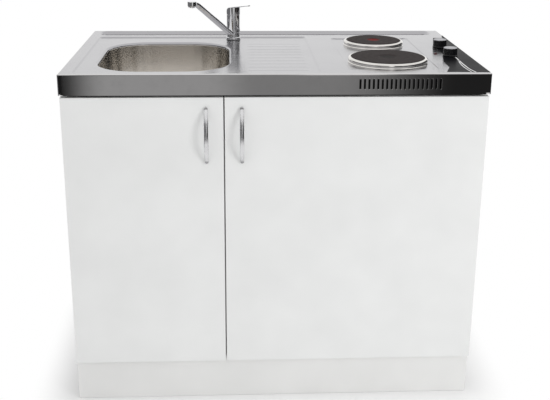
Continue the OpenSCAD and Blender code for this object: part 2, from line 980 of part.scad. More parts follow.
// Pipe from the trap out through the back, with a stop collar behind its nut
module waste_pipe() {
    collar = trap_r + fit + 29;
    color("white")
    at_waste()
        translate([0, 0, waste_z]) rotate([-90, 0, 0]) {
            ring(pipe_r, pipe_r - pipe_wall, trap_r + fit + 1, unit_d - bowl_y);
            ring(pipe_r + 1.5, pipe_r - pipe_wall, collar, collar + 3);
        }
}

// ---------- tap ----------

module at_tap() {
    unit() translate([tap_x, tap_y, recess_z]) children();
}

module tap_base_ring() {
    color("silver")
    at_tap() {
        ring(ring_r, core_r + 0.2, 1.2, ring_h);
        ring(ring_r - 1.4, core_r + 0.2, ring_h, ring_h + 0.2);
    }
}

// Body: shank and core through the sheet, and the housing of the cartridge above the spout's ring
module tap_body() {
    body_z = ring_h + swivel_h + 0.6 + 2 * fit;
    color("silver")
    at_tap()
        difference() {
            union() {
                translate([0, 0, -shank_l]) cylinder(r = core_r, h = shank_l + body_z);
                translate([0, 0, body_z]) cylinder(r = tap_r, h = tap_h - body_z);
            }
            translate([0, 0, 30]) cylinder(r = 16.2, h = tap_h);
            for (x = [-7.5, 7.5])
                translate([x, 0, -shank_l - cut])
                    cylinder(r = tail_thread_r + screw_play, h = 10 + cut);
        }
}

module tap_fixings() {
    color("silver")
    at_tap() {
        ring(26, core_r + fit, -sheet_t - 2.5, -sheet_t);
        difference() {
            translate([0, 0, -sheet_t - 12.5]) cylinder(r = 24, h = 10, $fn = 6);
            translate([0, 0, -sheet_t - 13.5]) cylinder(r = core_r + fit, h = 12);
        }
    }
}

// Two inlet tails for the hot and the cold water, screwed into the shank
module tap_inlets() {
    color("peru")
    at_tap()
        for (x = [-7.5, 7.5])
            translate([x, 0, 0]) {
                ring(5, 3.8, -shank_l - tail_l, -shank_l - fit);
                ring(tail_thread_r, 3.8, -shank_l - 2, -shank_l + 9);
            }
}

// Cartridge, and the dome that closes it under the lever's cap
module tap_cartridge() {
    color("white")
    at_tap() {
        translate([0, 0, 30]) cylinder(r = 16, h = pivot_z - 41);
        difference() {
            union() {
                translate([0, 0, pivot_z]) sphere(r = dome_r);
                translate([0, 0, pivot_z - 12]) cylinder(r = 16, h = 12);
            }
            translate([0, 0, pivot_z]) sphere(r = dome_r - 2);
            translate([0, 0, pivot_z - 40]) cylinder(r = 14.2, h = 40);
            translate([0, 0, pivot_z]) cylinder(r = 9.5, h = 30);
            difference() {
                translate([0, 0, pivot_z - 20]) cylinder(r = 30, h = 20 + tap_h - pivot_z);
                translate([0, 0, pivot_z - 21]) cylinder(r = 16, h = 30);
            }
        }
    }
}

// Carrier that turns in the cartridge, a fork with the lever's pin
module tap_carrier() {
    color("dimgray")
    at_tap() rotate([0, 0, lever_turn]) {
        translate([0, 0, pivot_z - 10.6]) cylinder(r = 13.8, h = 4);
        for (y = [-7, 3.4])
            translate([-3.5, y, pivot_z - 7]) cube([7, 3.6, 10]);
        translate([0, -7, pivot_z]) rotate([-90, 0, 0]) cylinder(r = hinge_pin_r, h = 14);
    }
}

// Cap with the lever blade, cut away at the back so that it can tip, and its stem
module tap_lever() {
    cap_z = tap_h + 0.5;
    blade_z = cap_h + tap_h - 5.5;
    color("silver")
    at_tap() rotate([0, 0, lever_turn]) {
        difference() {
            union() {
                rotate_extrude()
                    polygon([[0, cap_z], [cap_r, cap_z], [cap_r, cap_z + 9], [cap_r - 1.5, cap_z + 14],
                             [cap_r - 6, cap_z + 18.5], [cap_r - 13, cap_z + 21], [0, cap_z + cap_h - 0.5]]);
                intersection() {
                    translate([0, -20, blade_z]) rotate([0, -lever_rise, 0])
                        linear_extrude(3.5)
                            polygon([[0, 8], [lever_l - 6, 13], [lever_l, 15.5], [lever_l, 24.5],
                                     [lever_l - 6, 27], [0, 32]]);
                    translate([0, -30, 0]) cube([lever_l + 10, 60, 2 * tap_h]);
                }
            }
            translate([0, 0, pivot_z]) sphere(r = cap_in_r);
            translate([0, -30, cap_z - 30]) rotate([0, lift_angle + 2, 0])
                translate([-60, 0, 0]) cube([60, 60, 30]);
        }
        difference() {
            union() {
                translate([0, 0, pivot_z]) cylinder(r = 3, h = cap_in_r + 0.6);
                translate([0, -3.1, pivot_z]) rotate([-90, 0, 0]) cylinder(r = 4.2, h = 6.2);
            }
            translate([0, -5, pivot_z]) rotate([-90, 0, 0]) cylinder(r = hinge_pin_r + run, h = 10);
        }
    }
}

// Swivel spout: a ring on the core and a flat arm that rises to the outlet
module tap_spout() {
    z0 = ring_h + 0.5;
    z1 = z0 + swivel_h;
    tip_r = 12;
    color("silver")
    at_tap() rotate([0, 0, spout_turn])
        difference() {
            union() {
                translate([0, 0, z0]) cylinder(r = tap_r, h = swivel_h);
                intersection() {
                    rotate([90, 0, 0]) translate([0, 0, -20]) linear_extrude(40)
                        polygon([[8, z0], [spout_reach - 14, spout_h - tip_h - 1],
                                 [spout_reach - 12, spout_h - tip_h], [spout_reach, spout_h - tip_h],
                                 [spout_reach, spout_h], [spout_reach - 10, spout_h - 0.4],
                                 [spout_reach - 18, spout_h - 3], [14, z1 + 2.5], [8, z1]]);
                    linear_extrude(spout_h)
                        polygon([[0, -12], [spout_reach, -9], [spout_reach, 9], [0, 12]]);
                }
                translate([spout_reach, 0, spout_h - tip_h]) cylinder(r = tip_r, h = tip_h);
            }
            translate([0, 0, -cut]) cylinder(r = core_r + swivel_run, h = z1 + 3 * cut);
            translate([0, 0, z1]) cylinder(r = tap_r + fit, h = spout_h);
            translate([spout_reach, 0, spout_h - tip_h - cut]) cylinder(r = 9, h = tip_h - 3 + cut);
        }
}

module tap_aerator() {
    color("silver")
    at_tap() rotate([0, 0, spout_turn]) translate([spout_reach, 0, 0]) {
        ring(8.9, 7, spout_h - tip_h, spout_h - 4);
        ring(11, 7, spout_h - tip_h - 4, spout_h - tip_h);
        for (turn = [0, 60, 120])
            rotate([0, 0, turn]) translate([-7.2, -0.5, spout_h - tip_h - 2]) cube([14.4, 1, 4]);
    }
}

// ---------- hob ----------

module at_plate(y) {
    unit() translate([hob_x, y, plate_zs]) children();
}

// Cast plate with a dished middle, a hollow skirt that goes through the sheet, a web that
// carries the terminal block, and a stud
module hob_plate(r, dish_r) {
    difference() {
        union() {
            rotate_extrude($fn = 128)
                polygon([[0, 2.5], [r, 2.5], [r, plate_rise], [r - 1, plate_rise + 1],
                         [0, plate_rise + 1]]);
            translate([0, 0, -skirt_drop]) cylinder(r = r - 6, h = skirt_drop + 3);
            translate([0, 0, -skirt_drop - 22]) cylinder(r = 3, h = 30);
        }
        difference() {
            ring(r - 10, 9, -skirt_drop - cut, 4.5);
            translate([0, terminal_y - 4, -skirt_drop - 2 * cut])
                cube([r, terminal_size[1] + 8, 2 * r]);
        }
        translate([0, 0, plate_rise - 0.5]) cylinder(r = dish_r, h = 3);
    }
}

module front_hob_plate() {
    color("dimgray")
    at_plate(front_y) hob_plate(front_plate_d / 2, 22);
}

module rear_hob_plate() {
    color("dimgray")
    at_plate(rear_y) hob_plate(rear_plate_d / 2, 15);
}

// Bright ring round a plate: a foot on the sheet and a lip against the plate
module spill_ring(r) {
    rotate_extrude($fn = 128)
        polygon([[r + 1.9, 0], [r + ring_foot, 0], [r + ring_foot, 1.2], [r + 7.4, 6.5],
                 [r + 5, 10.4],
                 [r + 0.6, ring_rise], [r + 0.6, ring_rise - 1.2], [r + 4.2, 9.4],
                 [r + 6.2, 6], [r + 7.2, 1.2], [r + 1.9, 1.2]]);
}

module spill_rings() {
    color("silver") {
        at_plate(front_y) spill_ring(front_plate_d / 2);
        at_plate(rear_y) spill_ring(rear_plate_d / 2);
    }
}

// Steel bridge that pulls a plate down, its two ends up against the sheet
module plate_clamp(r) {
    end = r + clamp_reach;
    z = -skirt_drop - 8;
    difference() {
        union() {
            translate([-end, -10, z]) cube([2 * end, 20, 2]);
            for (x = [-end, end - 2])
                translate([x, -10, z]) cube([2, 20, -sheet_t - z]);
        }
        translate([0, 0, z - cut]) cylinder(r = 3.4, h = 2 + 2 * cut);
    }
}

module plate_clamps() {
    color("silver") {
        at_plate(front_y) plate_clamp(front_plate_d / 2);
        at_plate(rear_y) plate_clamp(rear_plate_d / 2);
    }
}

module plate_nuts() {
    z = -skirt_drop - 8;
    color("silver")
    for (y = [front_y, rear_y])
        at_plate(y)
            difference() {
                translate([0, 0, z - 5]) cylinder(r = 7, h = 5, $fn = 6);
                translate([0, 0, z - 5 - cut]) cylinder(r = 3 + screw_play, h = 5 + 2 * cut);
            }
}

// Ceramic terminal block under each plate
module plate_terminals() {
    color("white")
    for (y = [front_y, rear_y])
        at_plate(y)
            translate([terminal_x, terminal_y, -skirt_drop - terminal_size[2]])
                cube(terminal_size);
}

module hob_tray() {
    color("lightgray")
    unit()
        difference() {
            panel(tray_x0, tray_x1, tray_y0, tray_y1, tray_z, batten_top);
            panel(tray_x0 + tray_t, tray_x1 - tray_t, tray_y0 + tray_t, tray_y1 - tray_t,
                  tray_z + tray_t, batten_top + cut);
            for (y = wire_ys)
                translate([tray_x1 - 2 * tray_t, y, wire_z]) rotate([0, 90, 0])
                    cylinder(r = grommet_r, h = 3 * tray_t);
        }
}

// Rotary switches under the sheet, bored for the knobs' shafts
module hob_switches() {
    color("darkslategray")
    unit()
        for (y = knob_ys)
            difference() {
                translate([switch_x - switch_size[0] / 2, y - switch_size[1] / 2,
                           batten_top - switch_size[2]])
                    cube(switch_size);
                translate([switch_x, y, batten_top - 20])
                    cylinder(r = shaft_r + run, h = 20 + cut);
            }
}

// Knob with a grip bar on its shaft
module knob(y) {
    foot = unit_h + film_t + 0.7;
    unit()
        translate([switch_x, y, 0]) {
            difference() {
                rotate_extrude()
                    polygon([[0, foot], [knob_d / 2, foot], [knob_d / 2, foot + 3],
                             [knob_d / 2 - 1, foot + 4], [knob_d / 2 - 1.8, unit_h + knob_h - 0.8],
                             [knob_d / 2 - 2.6, unit_h + knob_h], [0, unit_h + knob_h]]);
                translate([knob_d / 2 - 6, -0.8, unit_h + knob_h - 0.6]) cube([6, 1.6, 2]);
            }
            translate([0, 0, batten_top - 18]) cylinder(r = shaft_r, h = 22);
        }
}

module front_knob() {
    color("black")
    knob(knob_ys[0]);
}

module rear_knob() {
    color("black")
    knob(knob_ys[1]);
}

// Dark print along the right edge, a thin film with holes for the shafts
module control_panel() {
    color("black")
    unit()
        translate([0, 0, unit_h])
            linear_extrude(film_t)
                difference() {
                    translate([right_x, 0])
                        polygon([[-2, 10], [-103, 16], [-85, 68], [-84, 135], [-71, 198],
                                 [-62, 247], [-65, 345], [-37, 473], [-11, 472], [-5, 510], [-2, 510]]);
                    for (y = knob_ys) translate([switch_x, y]) circle(r = shaft_r + 1);
                }
}

module pilot_lamp() {
    color("darkred")
    unit()
        translate([lamp_pos[0], lamp_pos[1], 0]) {
            translate([0, 0, unit_h]) cylinder(r = lamp_r, h = 1);
            translate([0, 0, unit_h]) cylinder(r1 = lamp_r - 1, r2 = lamp_r - 3, h = 3);
            translate([0, 0, batten_top - 18]) cylinder(r = lamp_r - 1.2, h = 20);
        }
}

// Terminal box on the rear rail, open for the gland below and the wires in front
box_y1 = cab_back - panel_t;
box_y0 = box_y1 - box_size[1];

module terminal_box() {
    wall = 2;
    color("black")
    unit()
        difference() {
            panel(box_x, box_x + box_size[0], box_y0, box_y1, box_z, box_z + box_size[2]);
            panel(box_x + wall, box_x + box_size[0] - wall, box_y0 + wall, box_y1 - wall,
                  box_z + wall, box_z + box_size[2] - wall);
            translate([box_x + box_size[0] / 2, (box_y0 + box_y1) / 2, box_z - cut])
                cylinder(r = gland_r + screw_play, h = wall + 2 * cut);
            for (x = box_wire_xs)
                translate([x, box_y0 - cut, box_wire_z]) rotate([-90, 0, 0])
                    cylinder(r = wire_r + fit, h = wall + 2 * cut);
        }
}

module cable_gland() {
    color("black")
    unit()
        translate([box_x + box_size[0] / 2, (box_y0 + box_y1) / 2, box_z]) {
            difference() {
                translate([0, 0, -gland_head]) cylinder(r = 12, h = gland_head, $fn = 6);
                translate([0, 0, -gland_head - cut]) cylinder(r = gland_bore_r, h = gland_head + 2 * cut);
            }
            ring(gland_r, gland_bore_r, 0, gland_thread);
        }
}

// Wires: box to each switch, each switch to its plate's terminal, and the lamp
wire_z = batten_top - 27;
wire_ys = [for (y = knob_ys) y - 12];
box_wire_xs = [box_x + 20, box_x + 60];
box_wire_z = box_z + 40;
lane_x = switch_x - switch_size[0] / 2 - 14;

module hob_wiring() {
    sx = switch_x - switch_size[0] / 2;
    ends = [for (y = [front_y, rear_y]) y + terminal_y + terminal_size[1] / 2];
    term_z = plate_zs - skirt_drop - terminal_size[2] / 2;
    color("tomato")
    unit() {
        for (i = [0, 1]) {
            bx = box_wire_xs[i];
            turn_y = box_y0 - 20 + 6 * i;
            y = knob_ys[1 - i] + 10;
            lane = lane_x + 6 * i;
            z = box_wire_z - 8 - 8 * i;
            wire([[bx, box_y0 + 6, box_wire_z], [bx, turn_y, box_wire_z], [bx, turn_y, z],
                  [lane, turn_y, z], [lane, y, z], [lane, y, wire_z],
                  [sx, y, wire_z]], wire_r);
        }
        for (i = [0, 1]) {
            tx = hob_x + terminal_x + terminal_size[0];
            mid = i == 0 ? tx + 22 :
                  max(tx + 27, hob_x + rear_plate_d / 2 + clamp_reach + wire_r + fit + 1);
            wire([[sx, wire_ys[i], wire_z], [mid, wire_ys[i], wire_z],
                  [mid, wire_ys[i], term_z], [mid, ends[i], term_z],
                  [tx, ends[i], term_z]], wire_r);
        }
        wire([[lamp_pos[0], lamp_pos[1], batten_top - 18],
              [lamp_pos[0], lamp_pos[1], batten_top - 24],
              [sx + 8, lamp_pos[1], batten_top - 24],
              [sx + 8, knob_ys[0] + switch_size[1] / 2, batten_top - 24]], 1.2);
    }
}

left_side_panel();
right_side_panel();
divider_panel();
cupboard_floor();
back_panel();
plinth_board();
front_stretcher();
rear_rails();
worktop_battens();
shelf();
shelf_pins();
cabinet_screws();
hinge_plates();
hinge_arms();
left_door();
left_handle();
left_door_screws();
left_hinge_cups();
left_hinge_links();
left_door_buffers();
right_door();
right_handle();
right_door_screws();
right_hinge_cups();
right_hinge_links();
right_door_buffers();
worktop_sheet();
sink_bowl();
waste_flange();
basket_strainer();
sink_seals();
waste_nuts();
waste_tailpipe();
trap_body();
trap_cup();
waste_pipe();
tap_base_ring();
tap_body();
tap_fixings();
tap_inlets();
tap_cartridge();
tap_carrier();
tap_lever();
tap_spout();
tap_aerator();
front_hob_plate();
rear_hob_plate();
spill_rings();
plate_clamps();
plate_nuts();
plate_terminals();
hob_tray();
hob_switches();
front_knob();
rear_knob();
control_panel();
pilot_lamp();
terminal_box();
cable_gland();
hob_wiring();
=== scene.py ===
"""Kitchenette: base cabinet, pressed steel top with sink, drainer and two-plate hob, mixer tap.

Lengths inside the functions are millimetres in the unit frame: X 0 is the middle of the unit,
Y 0 the front of the apron, Z 0 the floor. place() turns them into metres in the model's frame.
"""

import json
import math

import bmesh
import bpy
from mathutils import Matrix, Vector


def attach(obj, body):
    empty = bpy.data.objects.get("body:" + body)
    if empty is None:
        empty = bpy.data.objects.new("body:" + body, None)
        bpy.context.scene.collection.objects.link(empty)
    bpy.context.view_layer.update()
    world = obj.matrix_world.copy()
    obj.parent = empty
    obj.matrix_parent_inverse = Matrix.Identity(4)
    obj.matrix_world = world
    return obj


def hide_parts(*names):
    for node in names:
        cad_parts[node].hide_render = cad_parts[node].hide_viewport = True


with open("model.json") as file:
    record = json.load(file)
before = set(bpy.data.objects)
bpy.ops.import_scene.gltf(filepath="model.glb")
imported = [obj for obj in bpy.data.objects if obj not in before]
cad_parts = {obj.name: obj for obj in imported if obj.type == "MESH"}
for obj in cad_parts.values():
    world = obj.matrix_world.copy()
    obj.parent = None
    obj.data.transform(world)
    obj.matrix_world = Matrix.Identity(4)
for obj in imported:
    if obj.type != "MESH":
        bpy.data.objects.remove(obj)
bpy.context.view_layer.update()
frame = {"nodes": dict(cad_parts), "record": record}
NODES = frame["nodes"]

# ---------- sizes that follow the CAD model ----------

Y_SHIFT = -287.5
HALF_W = 500.0
DEPTH = 600.0
TOP = 850.0
APRON_BOTTOM = 800.0
RECESS = (-470.0, 14.0, 104.5, 500.0, 12.0, 2.5)      # x0, y0, x1, y1, corner radius, depth
TROUGH = (-476.0, 523.0, 470.0, 594.0, 22.0, 8.6)
HOB = (172.5, 46.0, 387.5, 471.5, 14.0, 2.0)
RECESS_Z = TOP - RECESS[5]
BOWL_X, BOWL_Y = -268.0, 233.0
BOWL_HALF = (158.0, 188.0)
BOWL_R = 105.0
BOWL_DEPTH = 150.0
BOWL_FILLET = 40.0
RIM_R = 6.0
FRAME_X = (-446.0, -90.0)                             # patch of the sheet round the bowl
FRAME_Y = (25.0, 441.0)
SLOTS = dict(count=19, pitch=10.4, x=287.0, z=825.0, w=4.5, h=25.0)
SLOT_EDGES = [SLOTS["x"] + SLOTS["pitch"] * (i - SLOTS["count"] / 2)
              for i in range(SLOTS["count"] + 1)]
CELL_Z = (808.0, 842.0)                               # lower and upper edge of the slots' cells
RIBS = dict(x0=-65.0, x1=82.5, y0=52.0, y1=395.0, count=10, w=5.0, h=0.5)
TAP = (-98.0, 470.0)
SPOUT_TURN, LEVER_TURN = -126.0, -60.0
PLATES = (("front_hob_plate", 149.0, 90.0, 22.0), ("rear_hob_plate", 386.0, 72.5, 15.0))
HOB_X = 280.0
KNOBS = (("front_knob", 208.0), ("rear_knob", 327.0))
KNOB_X, KNOB_R = 449.0, 19.0
HANDLES = (("left", -163.5), ("right", -80.5))
HANDLE_Z = 704.0


def place(x, y, z):
    return (x / 1000.0, (y + Y_SHIFT) / 1000.0, z / 1000.0)


def smoothstep(t):
    t = min(max(t, 0.0), 1.0)
    return t * t * (3.0 - 2.0 * t)


# ---------- mesh tools ----------

class Shape:
    """Faces gathered into one mesh, in millimetres of the unit frame."""

    def __init__(self):
        self.verts, self.faces, self.slots = [], [], []

    def loft(self, loops, wrap=True, slot=0, flip=False):
        """Quads between neighbouring loops that all have the same number of points."""
        base, n = len(self.verts), len(loops[0])
        for loop in loops:
            self.verts += [tuple(p) for p in loop]
        for i in range(len(loops) - 1):
            for j in range(n if wrap else n - 1):
                k = (j + 1) % n
                a, b = base + i * n, base + (i + 1) * n
                quad = [a + j, a + k, b + k, b + j]
                self.faces.append(quad[::-1] if flip else quad)
                self.slots.append(slot)

    def cap(self, loop, slot=0, flip=False):
        base = len(self.verts)
        self.verts += [tuple(p) for p in loop]
        face = list(range(base, base + len(loop)))
        self.faces.append(face[::-1] if flip else face)
        self.slots.append(slot)

    def tube(self, loops, slot=0):
        """A closed solid: lofted loops with a cap at each end."""
        self.loft(loops, slot=slot)
        self.cap(loops[0], slot, flip=True)
        self.cap(loops[-1], slot)

    def quad(self, a, b, c, d, slot=0):
        base = len(self.verts)
        self.verts += [a, b, c, d]
        self.faces.append([base, base + 1, base + 2, base + 3])
        self.slots.append(slot)

    def finish(self, name, body, materials, slot_name, replaces=(), angle=35.0, outward=True,
               thickness=0.0):
        mesh = bpy.data.meshes.new(name)
        mesh.from_pydata([place(*v) for v in self.verts], [], self.faces)
        for m in materials:
            mesh.materials.append(m)
        mesh.polygons.foreach_set("material_index", self.slots)
        bm = bmesh.new()
        bm.from_mesh(mesh)
        bmesh.ops.remove_doubles(bm, verts=bm.verts, dist=2e-6)
        if outward:
            bmesh.ops.recalc_face_normals(bm, faces=bm.faces)
        bm.to_mesh(mesh)
        bm.free()
        mesh.shade_smooth()
        mesh.set_sharp_from_angle(angle=math.radians(angle))
        piece = bpy.data.objects.new(name, mesh)
        bpy.context.scene.collection.objects.link(piece)
        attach(piece, body)
        if replaces:
            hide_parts(*replaces)
        if thickness:
            thick = piece.modifiers.new("thickness", "SOLIDIFY")
            thick.thickness = thickness
            thick.offset = -1.0
        even = piece.modifiers.new("even_shading", "WEIGHTED_NORMAL")
        even.keep_sharp = True
        return piece


def around(n):
    """Cosine and sine of n even steps round a circle."""
    return [(math.cos(2 * math.pi * i / n), math.sin(2 * math.pi * i / n)) for i in range(n)]


def lathe_loops(cx, cy, profile, segments=64):
    """Loops of a turned shape; profile is a list of (radius, z)."""
    steps = around(segments)
    return [[(cx + max(r, 0.05) * c, cy + max(r, 0.05) * s, z) for c, s in steps]
            for r, z in profile]


def spline(points, steps):
    """Catmull-Rom curve through 2D or 3D points."""
    out = []
    p = [points[0]] + list(points) + [points[-1]]
    for i in range(1, len(p) - 2):
        for k in range(steps):
            t = k / steps
            out.append(tuple(
                0.5 * (2 * p[i][c] + (p[i + 1][c] - p[i - 1][c]) * t
                       + (2 * p[i - 1][c] - 5 * p[i][c] + 4 * p[i + 1][c] - p[i + 2][c]) * t * t
                       + (3 * p[i][c] - p[i - 1][c] - 3 * p[i + 1][c] + p[i + 2][c]) * t ** 3)
                for c in range(len(points[0]))))
    out.append(tuple(points[-1]))
    return out


def box_section(w, h, r, steps=4):
    """Rounded rectangle in its own plane, as (across, up) points."""
    out = []
    for qx, qy, a0 in ((1, 1, 0), (-1, 1, 90), (-1, -1, 180), (1, -1, 270)):
        for i in range(steps + 1):
            a = math.radians(a0 + 90 * i / steps)
            out.append((qx * (w / 2 - r) + r * math.cos(a), qy * (h / 2 - r) + r * math.sin(a)))
    return out


# ---------- materials ----------

class Look:
    """A Principled material and the few node patterns that the materials here share."""

    def __init__(self, name, colour, metallic=0.0, roughness=0.5, **sockets):
        self.material = bpy.data.materials.new(name)
        self.material.use_nodes = True
        self.tree = self.material.node_tree
        self.shader = self.tree.nodes["Principled BSDF"]
        self.colour = (*colour, 1.0)
        self.shader.inputs["Base Color"].default_value = self.colour
        self.shader.inputs["Metallic"].default_value = metallic
        self.shader.inputs["Roughness"].default_value = roughness
        for key, value in sockets.items():
            self.shader.inputs[key.replace("_", " ")].default_value = value
        self.coords = self.node("ShaderNodeTexCoord").outputs["Object"]

    def node(self, kind, **settings):
        n = self.tree.nodes.new(kind)
        for key, value in settings.items():
            setattr(n, key, value)
        return n

    def feed(self, value, socket):
        if isinstance(value, bpy.types.NodeSocket):
            self.tree.links.new(value, socket)
        else:
            socket.default_value = value

    def math(self, operation, a, b=0.0):
        n = self.node("ShaderNodeMath", operation=operation)
        self.feed(a, n.inputs[0])
        self.feed(b, n.inputs[1])
        return n.outputs[0]

    def noise(self, scale, detail=3.0, stretch=(1.0, 1.0, 1.0)):
        """Noise with features about 1/scale metres apart, stretched by axis."""
        m = self.node("ShaderNodeMapping")
        m.inputs["Scale"].default_value = [scale * s for s in stretch]
        self.feed(self.coords, m.inputs["Vector"])
        n = self.node("ShaderNodeTexNoise")
        n.inputs["Scale"].default_value = 1.0
        n.inputs["Detail"].default_value = detail
        n.inputs["Roughness"].default_value = 0.55
        self.feed(m.outputs[0], n.inputs["Vector"])
        return n.outputs["Fac"]

    def spread(self, fac, low, high, start=0.3, end=0.7):
        """The factor's range start..end becomes low..high."""
        n = self.node("ShaderNodeMapRange")
        self.feed(fac, n.inputs["Value"])
        for key, value in (("From Min", start), ("From Max", end), ("To Min", low),
                           ("To Max", high)):
            n.inputs[key].default_value = value
        return n.outputs[0]

    def mix(self, fac, a, b):
        n = self.node("ShaderNodeMix", data_type="RGBA")
        self.feed(fac, n.inputs[0])
        self.feed(a if isinstance(a, bpy.types.NodeSocket) else (*a, 1.0), n.inputs[6])
        self.feed(b if isinstance(b, bpy.types.NodeSocket) else (*b, 1.0), n.inputs[7])
        return n.outputs[2]

    def set_colour(self, colour):
        self.feed(colour, self.shader.inputs["Base Color"])
        return self

    def set_roughness(self, value):
        self.feed(value, self.shader.inputs["Roughness"])
        return self

    def bump(self, height, strength, distance, after=None):
        """Bump of the height, on top of another bump if one is given."""
        n = self.node("ShaderNodeBump")
        n.inputs["Strength"].default_value = strength
        n.inputs["Distance"].default_value = distance
        self.feed(height, n.inputs["Height"])
        if after is not None:
            self.feed(after, n.inputs["Normal"])
        self.feed(n.outputs[0], self.shader.inputs["Normal"])
        return n.outputs[0]

    def radius_from(self, x, y):
        """Distance from an upright axis through a place in the unit frame, in metres."""
        shift = self.node("ShaderNodeVectorMath", operation="SUBTRACT")
        self.feed(self.coords, shift.inputs[0])
        shift.inputs[1].default_value = place(x, y, 0.0)
        flat = self.node("ShaderNodeVectorMath", operation="MULTIPLY")
        self.feed(shift.outputs[0], flat.inputs[0])
        flat.inputs[1].default_value = (1.0, 1.0, 0.0)
        length = self.node("ShaderNodeVectorMath", operation="LENGTH")
        self.feed(flat.outputs[0], length.inputs[0])
        return length.outputs["Value"]


def tint(colour, factor):
    return tuple(min(1.0, c * factor) for c in colour)


def brushed(name, colour, roughness, grain, strength, aniso):
    """Brushed or rolled steel: fine streaks along one axis and slow stains of handling."""
    look = Look(name, colour, metallic=1.0, roughness=roughness, Anisotropic=aniso)
    streaks = look.noise(6.0, 4.0, grain)
    stains = look.noise(5.0, 3.0)
    fine = look.mix(look.spread(streaks, 0.0, 1.0), tint(colour, 0.94), tint(colour, 1.05))
    look.set_colour(look.mix(look.spread(stains, 0.0, 0.35), fine, tint(colour, 0.9)))
    wear = look.math("ADD", look.spread(streaks, -0.03, 0.04), look.spread(stains, 0.0, 0.05))
    look.set_roughness(look.math("ADD", wear, roughness))
    look.bump(streaks, strength, 0.00004)
    return look.material


def polished(name, colour, roughness, smear=0.05):
    """Plated or polished metal with faint water marks and a breath of unevenness."""
    look = Look(name, colour, metallic=1.0, roughness=roughness)
    marks = look.noise(38.0, 5.0)
    broad = look.noise(9.0, 2.0)
    look.set_colour(look.mix(look.spread(marks, 0.0, 0.5, 0.5, 0.75), colour, tint(colour, 0.9)))
    look.set_roughness(look.math("ADD", look.spread(marks, 0.0, smear, 0.45, 0.75), roughness))
    look.bump(broad, 0.12, 0.0004)
    return look.material


def moulded(name, colour, roughness, texture=900.0, depth=0.00003, **sockets):
    """Moulded plastic or lacquer: fine texture, slight change of tone, duller where handled."""
    look = Look(name, colour, roughness=roughness, **sockets)
    grain = look.noise(texture, 2.0)
    tone = look.noise(7.0, 2.0)
    look.set_colour(look.mix(look.spread(tone, 0.0, 1.0), tint(colour, 0.97), tint(colour, 1.02)))
    look.set_roughness(look.math("ADD", look.spread(tone, -0.02, 0.05), roughness))
    look.bump(grain, 0.3, depth)
    return look.material


def chipboard(name, colour):
    """Raw chipboard: pressed chips of a few millimetres in several tones."""
    look = Look(name, colour, roughness=0.85)
    cells = look.node("ShaderNodeTexVoronoi")
    cells.inputs["Scale"].default_value = 260.0
    look.feed(look.coords, cells.inputs["Vector"])
    chips = look.node("ShaderNodeSeparateColor")
    look.feed(cells.outputs["Color"], chips.inputs[0])
    fibres = look.noise(900.0, 4.0, (0.3, 1.0, 1.0))
    base = look.mix(chips.outputs[0], tint(colour, 0.72), tint(colour, 1.15))
    look.set_colour(look.mix(look.spread(fibres, 0.0, 0.5), base, tint(colour, 0.6)))
    look.bump(look.math("ADD", cells.outputs["Distance"], fibres), 0.5, 0.0003)
    return look.material


def hardboard(name, brown, white):
    """Thin back board: brown pressed fibre on the wall side, white lacquer inside."""
    look = Look(name, brown, roughness=0.75)
    normal = look.node("ShaderNodeNewGeometry").outputs["Normal"]
    axes = look.node("ShaderNodeSeparateXYZ")
    look.feed(normal, axes.inputs[0])
    inside = look.math("LESS_THAN", axes.outputs[1], -0.5)
    fibre = look.noise(420.0, 5.0)
    mesh_back = look.noise(1500.0, 1.0)
    wood = look.mix(look.spread(fibre, 0.0, 1.0), tint(brown, 0.8), tint(brown, 1.2))
    look.set_colour(look.mix(inside, wood, white))
    look.set_roughness(look.math("SUBTRACT", 0.8, look.math("MULTIPLY", inside, 0.35)))
    look.bump(look.math("ADD", fibre, mesh_back), 0.35, 0.0002)
    return look.material


def cast_plate(name, colour, y, spot_r, spot_colour):
    """Turned cast iron: fine rings, gritty tone and a coloured spot in the middle."""
    look = Look(name, colour, roughness=0.6, Specular_IOR_Level=0.03)
    radius = look.radius_from(HOB_X, y)
    rings = look.math("SINE", look.math("MULTIPLY", radius, 2 * math.pi / 0.0016))
    broad = look.math("SINE", look.math("MULTIPLY", radius, 2 * math.pi / 0.017))
    grit = look.noise(1400.0, 3.0)
    tone = look.mix(look.spread(broad, 0.25, 0.75, -1.0, 1.0), tint(colour, 0.8), tint(colour, 1.3))
    tone = look.mix(look.spread(grit, 0.0, 0.4), tone, tint(colour, 0.55))
    spot = look.spread(radius, 1.0, 0.0, spot_r * 0.55, spot_r * 1.15)
    look.set_colour(look.mix(spot, tone, spot_colour))
    look.set_roughness(look.math("ADD", look.spread(rings, -0.05, 0.06, -1.0, 1.0), 0.58))
    first = look.bump(rings, 0.5, 0.00006)
    look.bump(grit, 0.35, 0.00008, after=first)
    return look.material


POLISHED = dict(
    apron_steel=((0.63, 0.62, 0.62), 0.06, 0.02),
    bowl_steel=((0.75, 0.725, 0.69), 0.2, 0.04),
    polished_steel=((0.72, 0.72, 0.72), 0.12),
    tap_chrome=((0.80, 0.80, 0.81), 0.05, 0.03),
    handle_metal=((0.70, 0.70, 0.71), 0.24, 0.06),
    ring_steel=((0.74, 0.72, 0.69), 0.1, 0.05),
    nickel_hinge=((0.66, 0.65, 0.62), 0.2, 0.1),
    tail_copper=((0.72, 0.36, 0.22), 0.28, 0.15))
BRUSHED = dict(
    worktop_steel=((0.44, 0.436, 0.45), 0.17, (1.0, 260.0, 260.0), 0.12, 0.3),
    zinc_steel=((0.60, 0.61, 0.60), 0.38, (30.0, 30.0, 30.0), 0.3, 0.0),
    tray_steel=((0.55, 0.57, 0.59), 0.42, (14.0, 9.0, 9.0), 0.3, 0.0),
    knob_cap=((0.42, 0.42, 0.44), 0.35, (40.0, 40.0, 40.0), 0.2, 0.2))
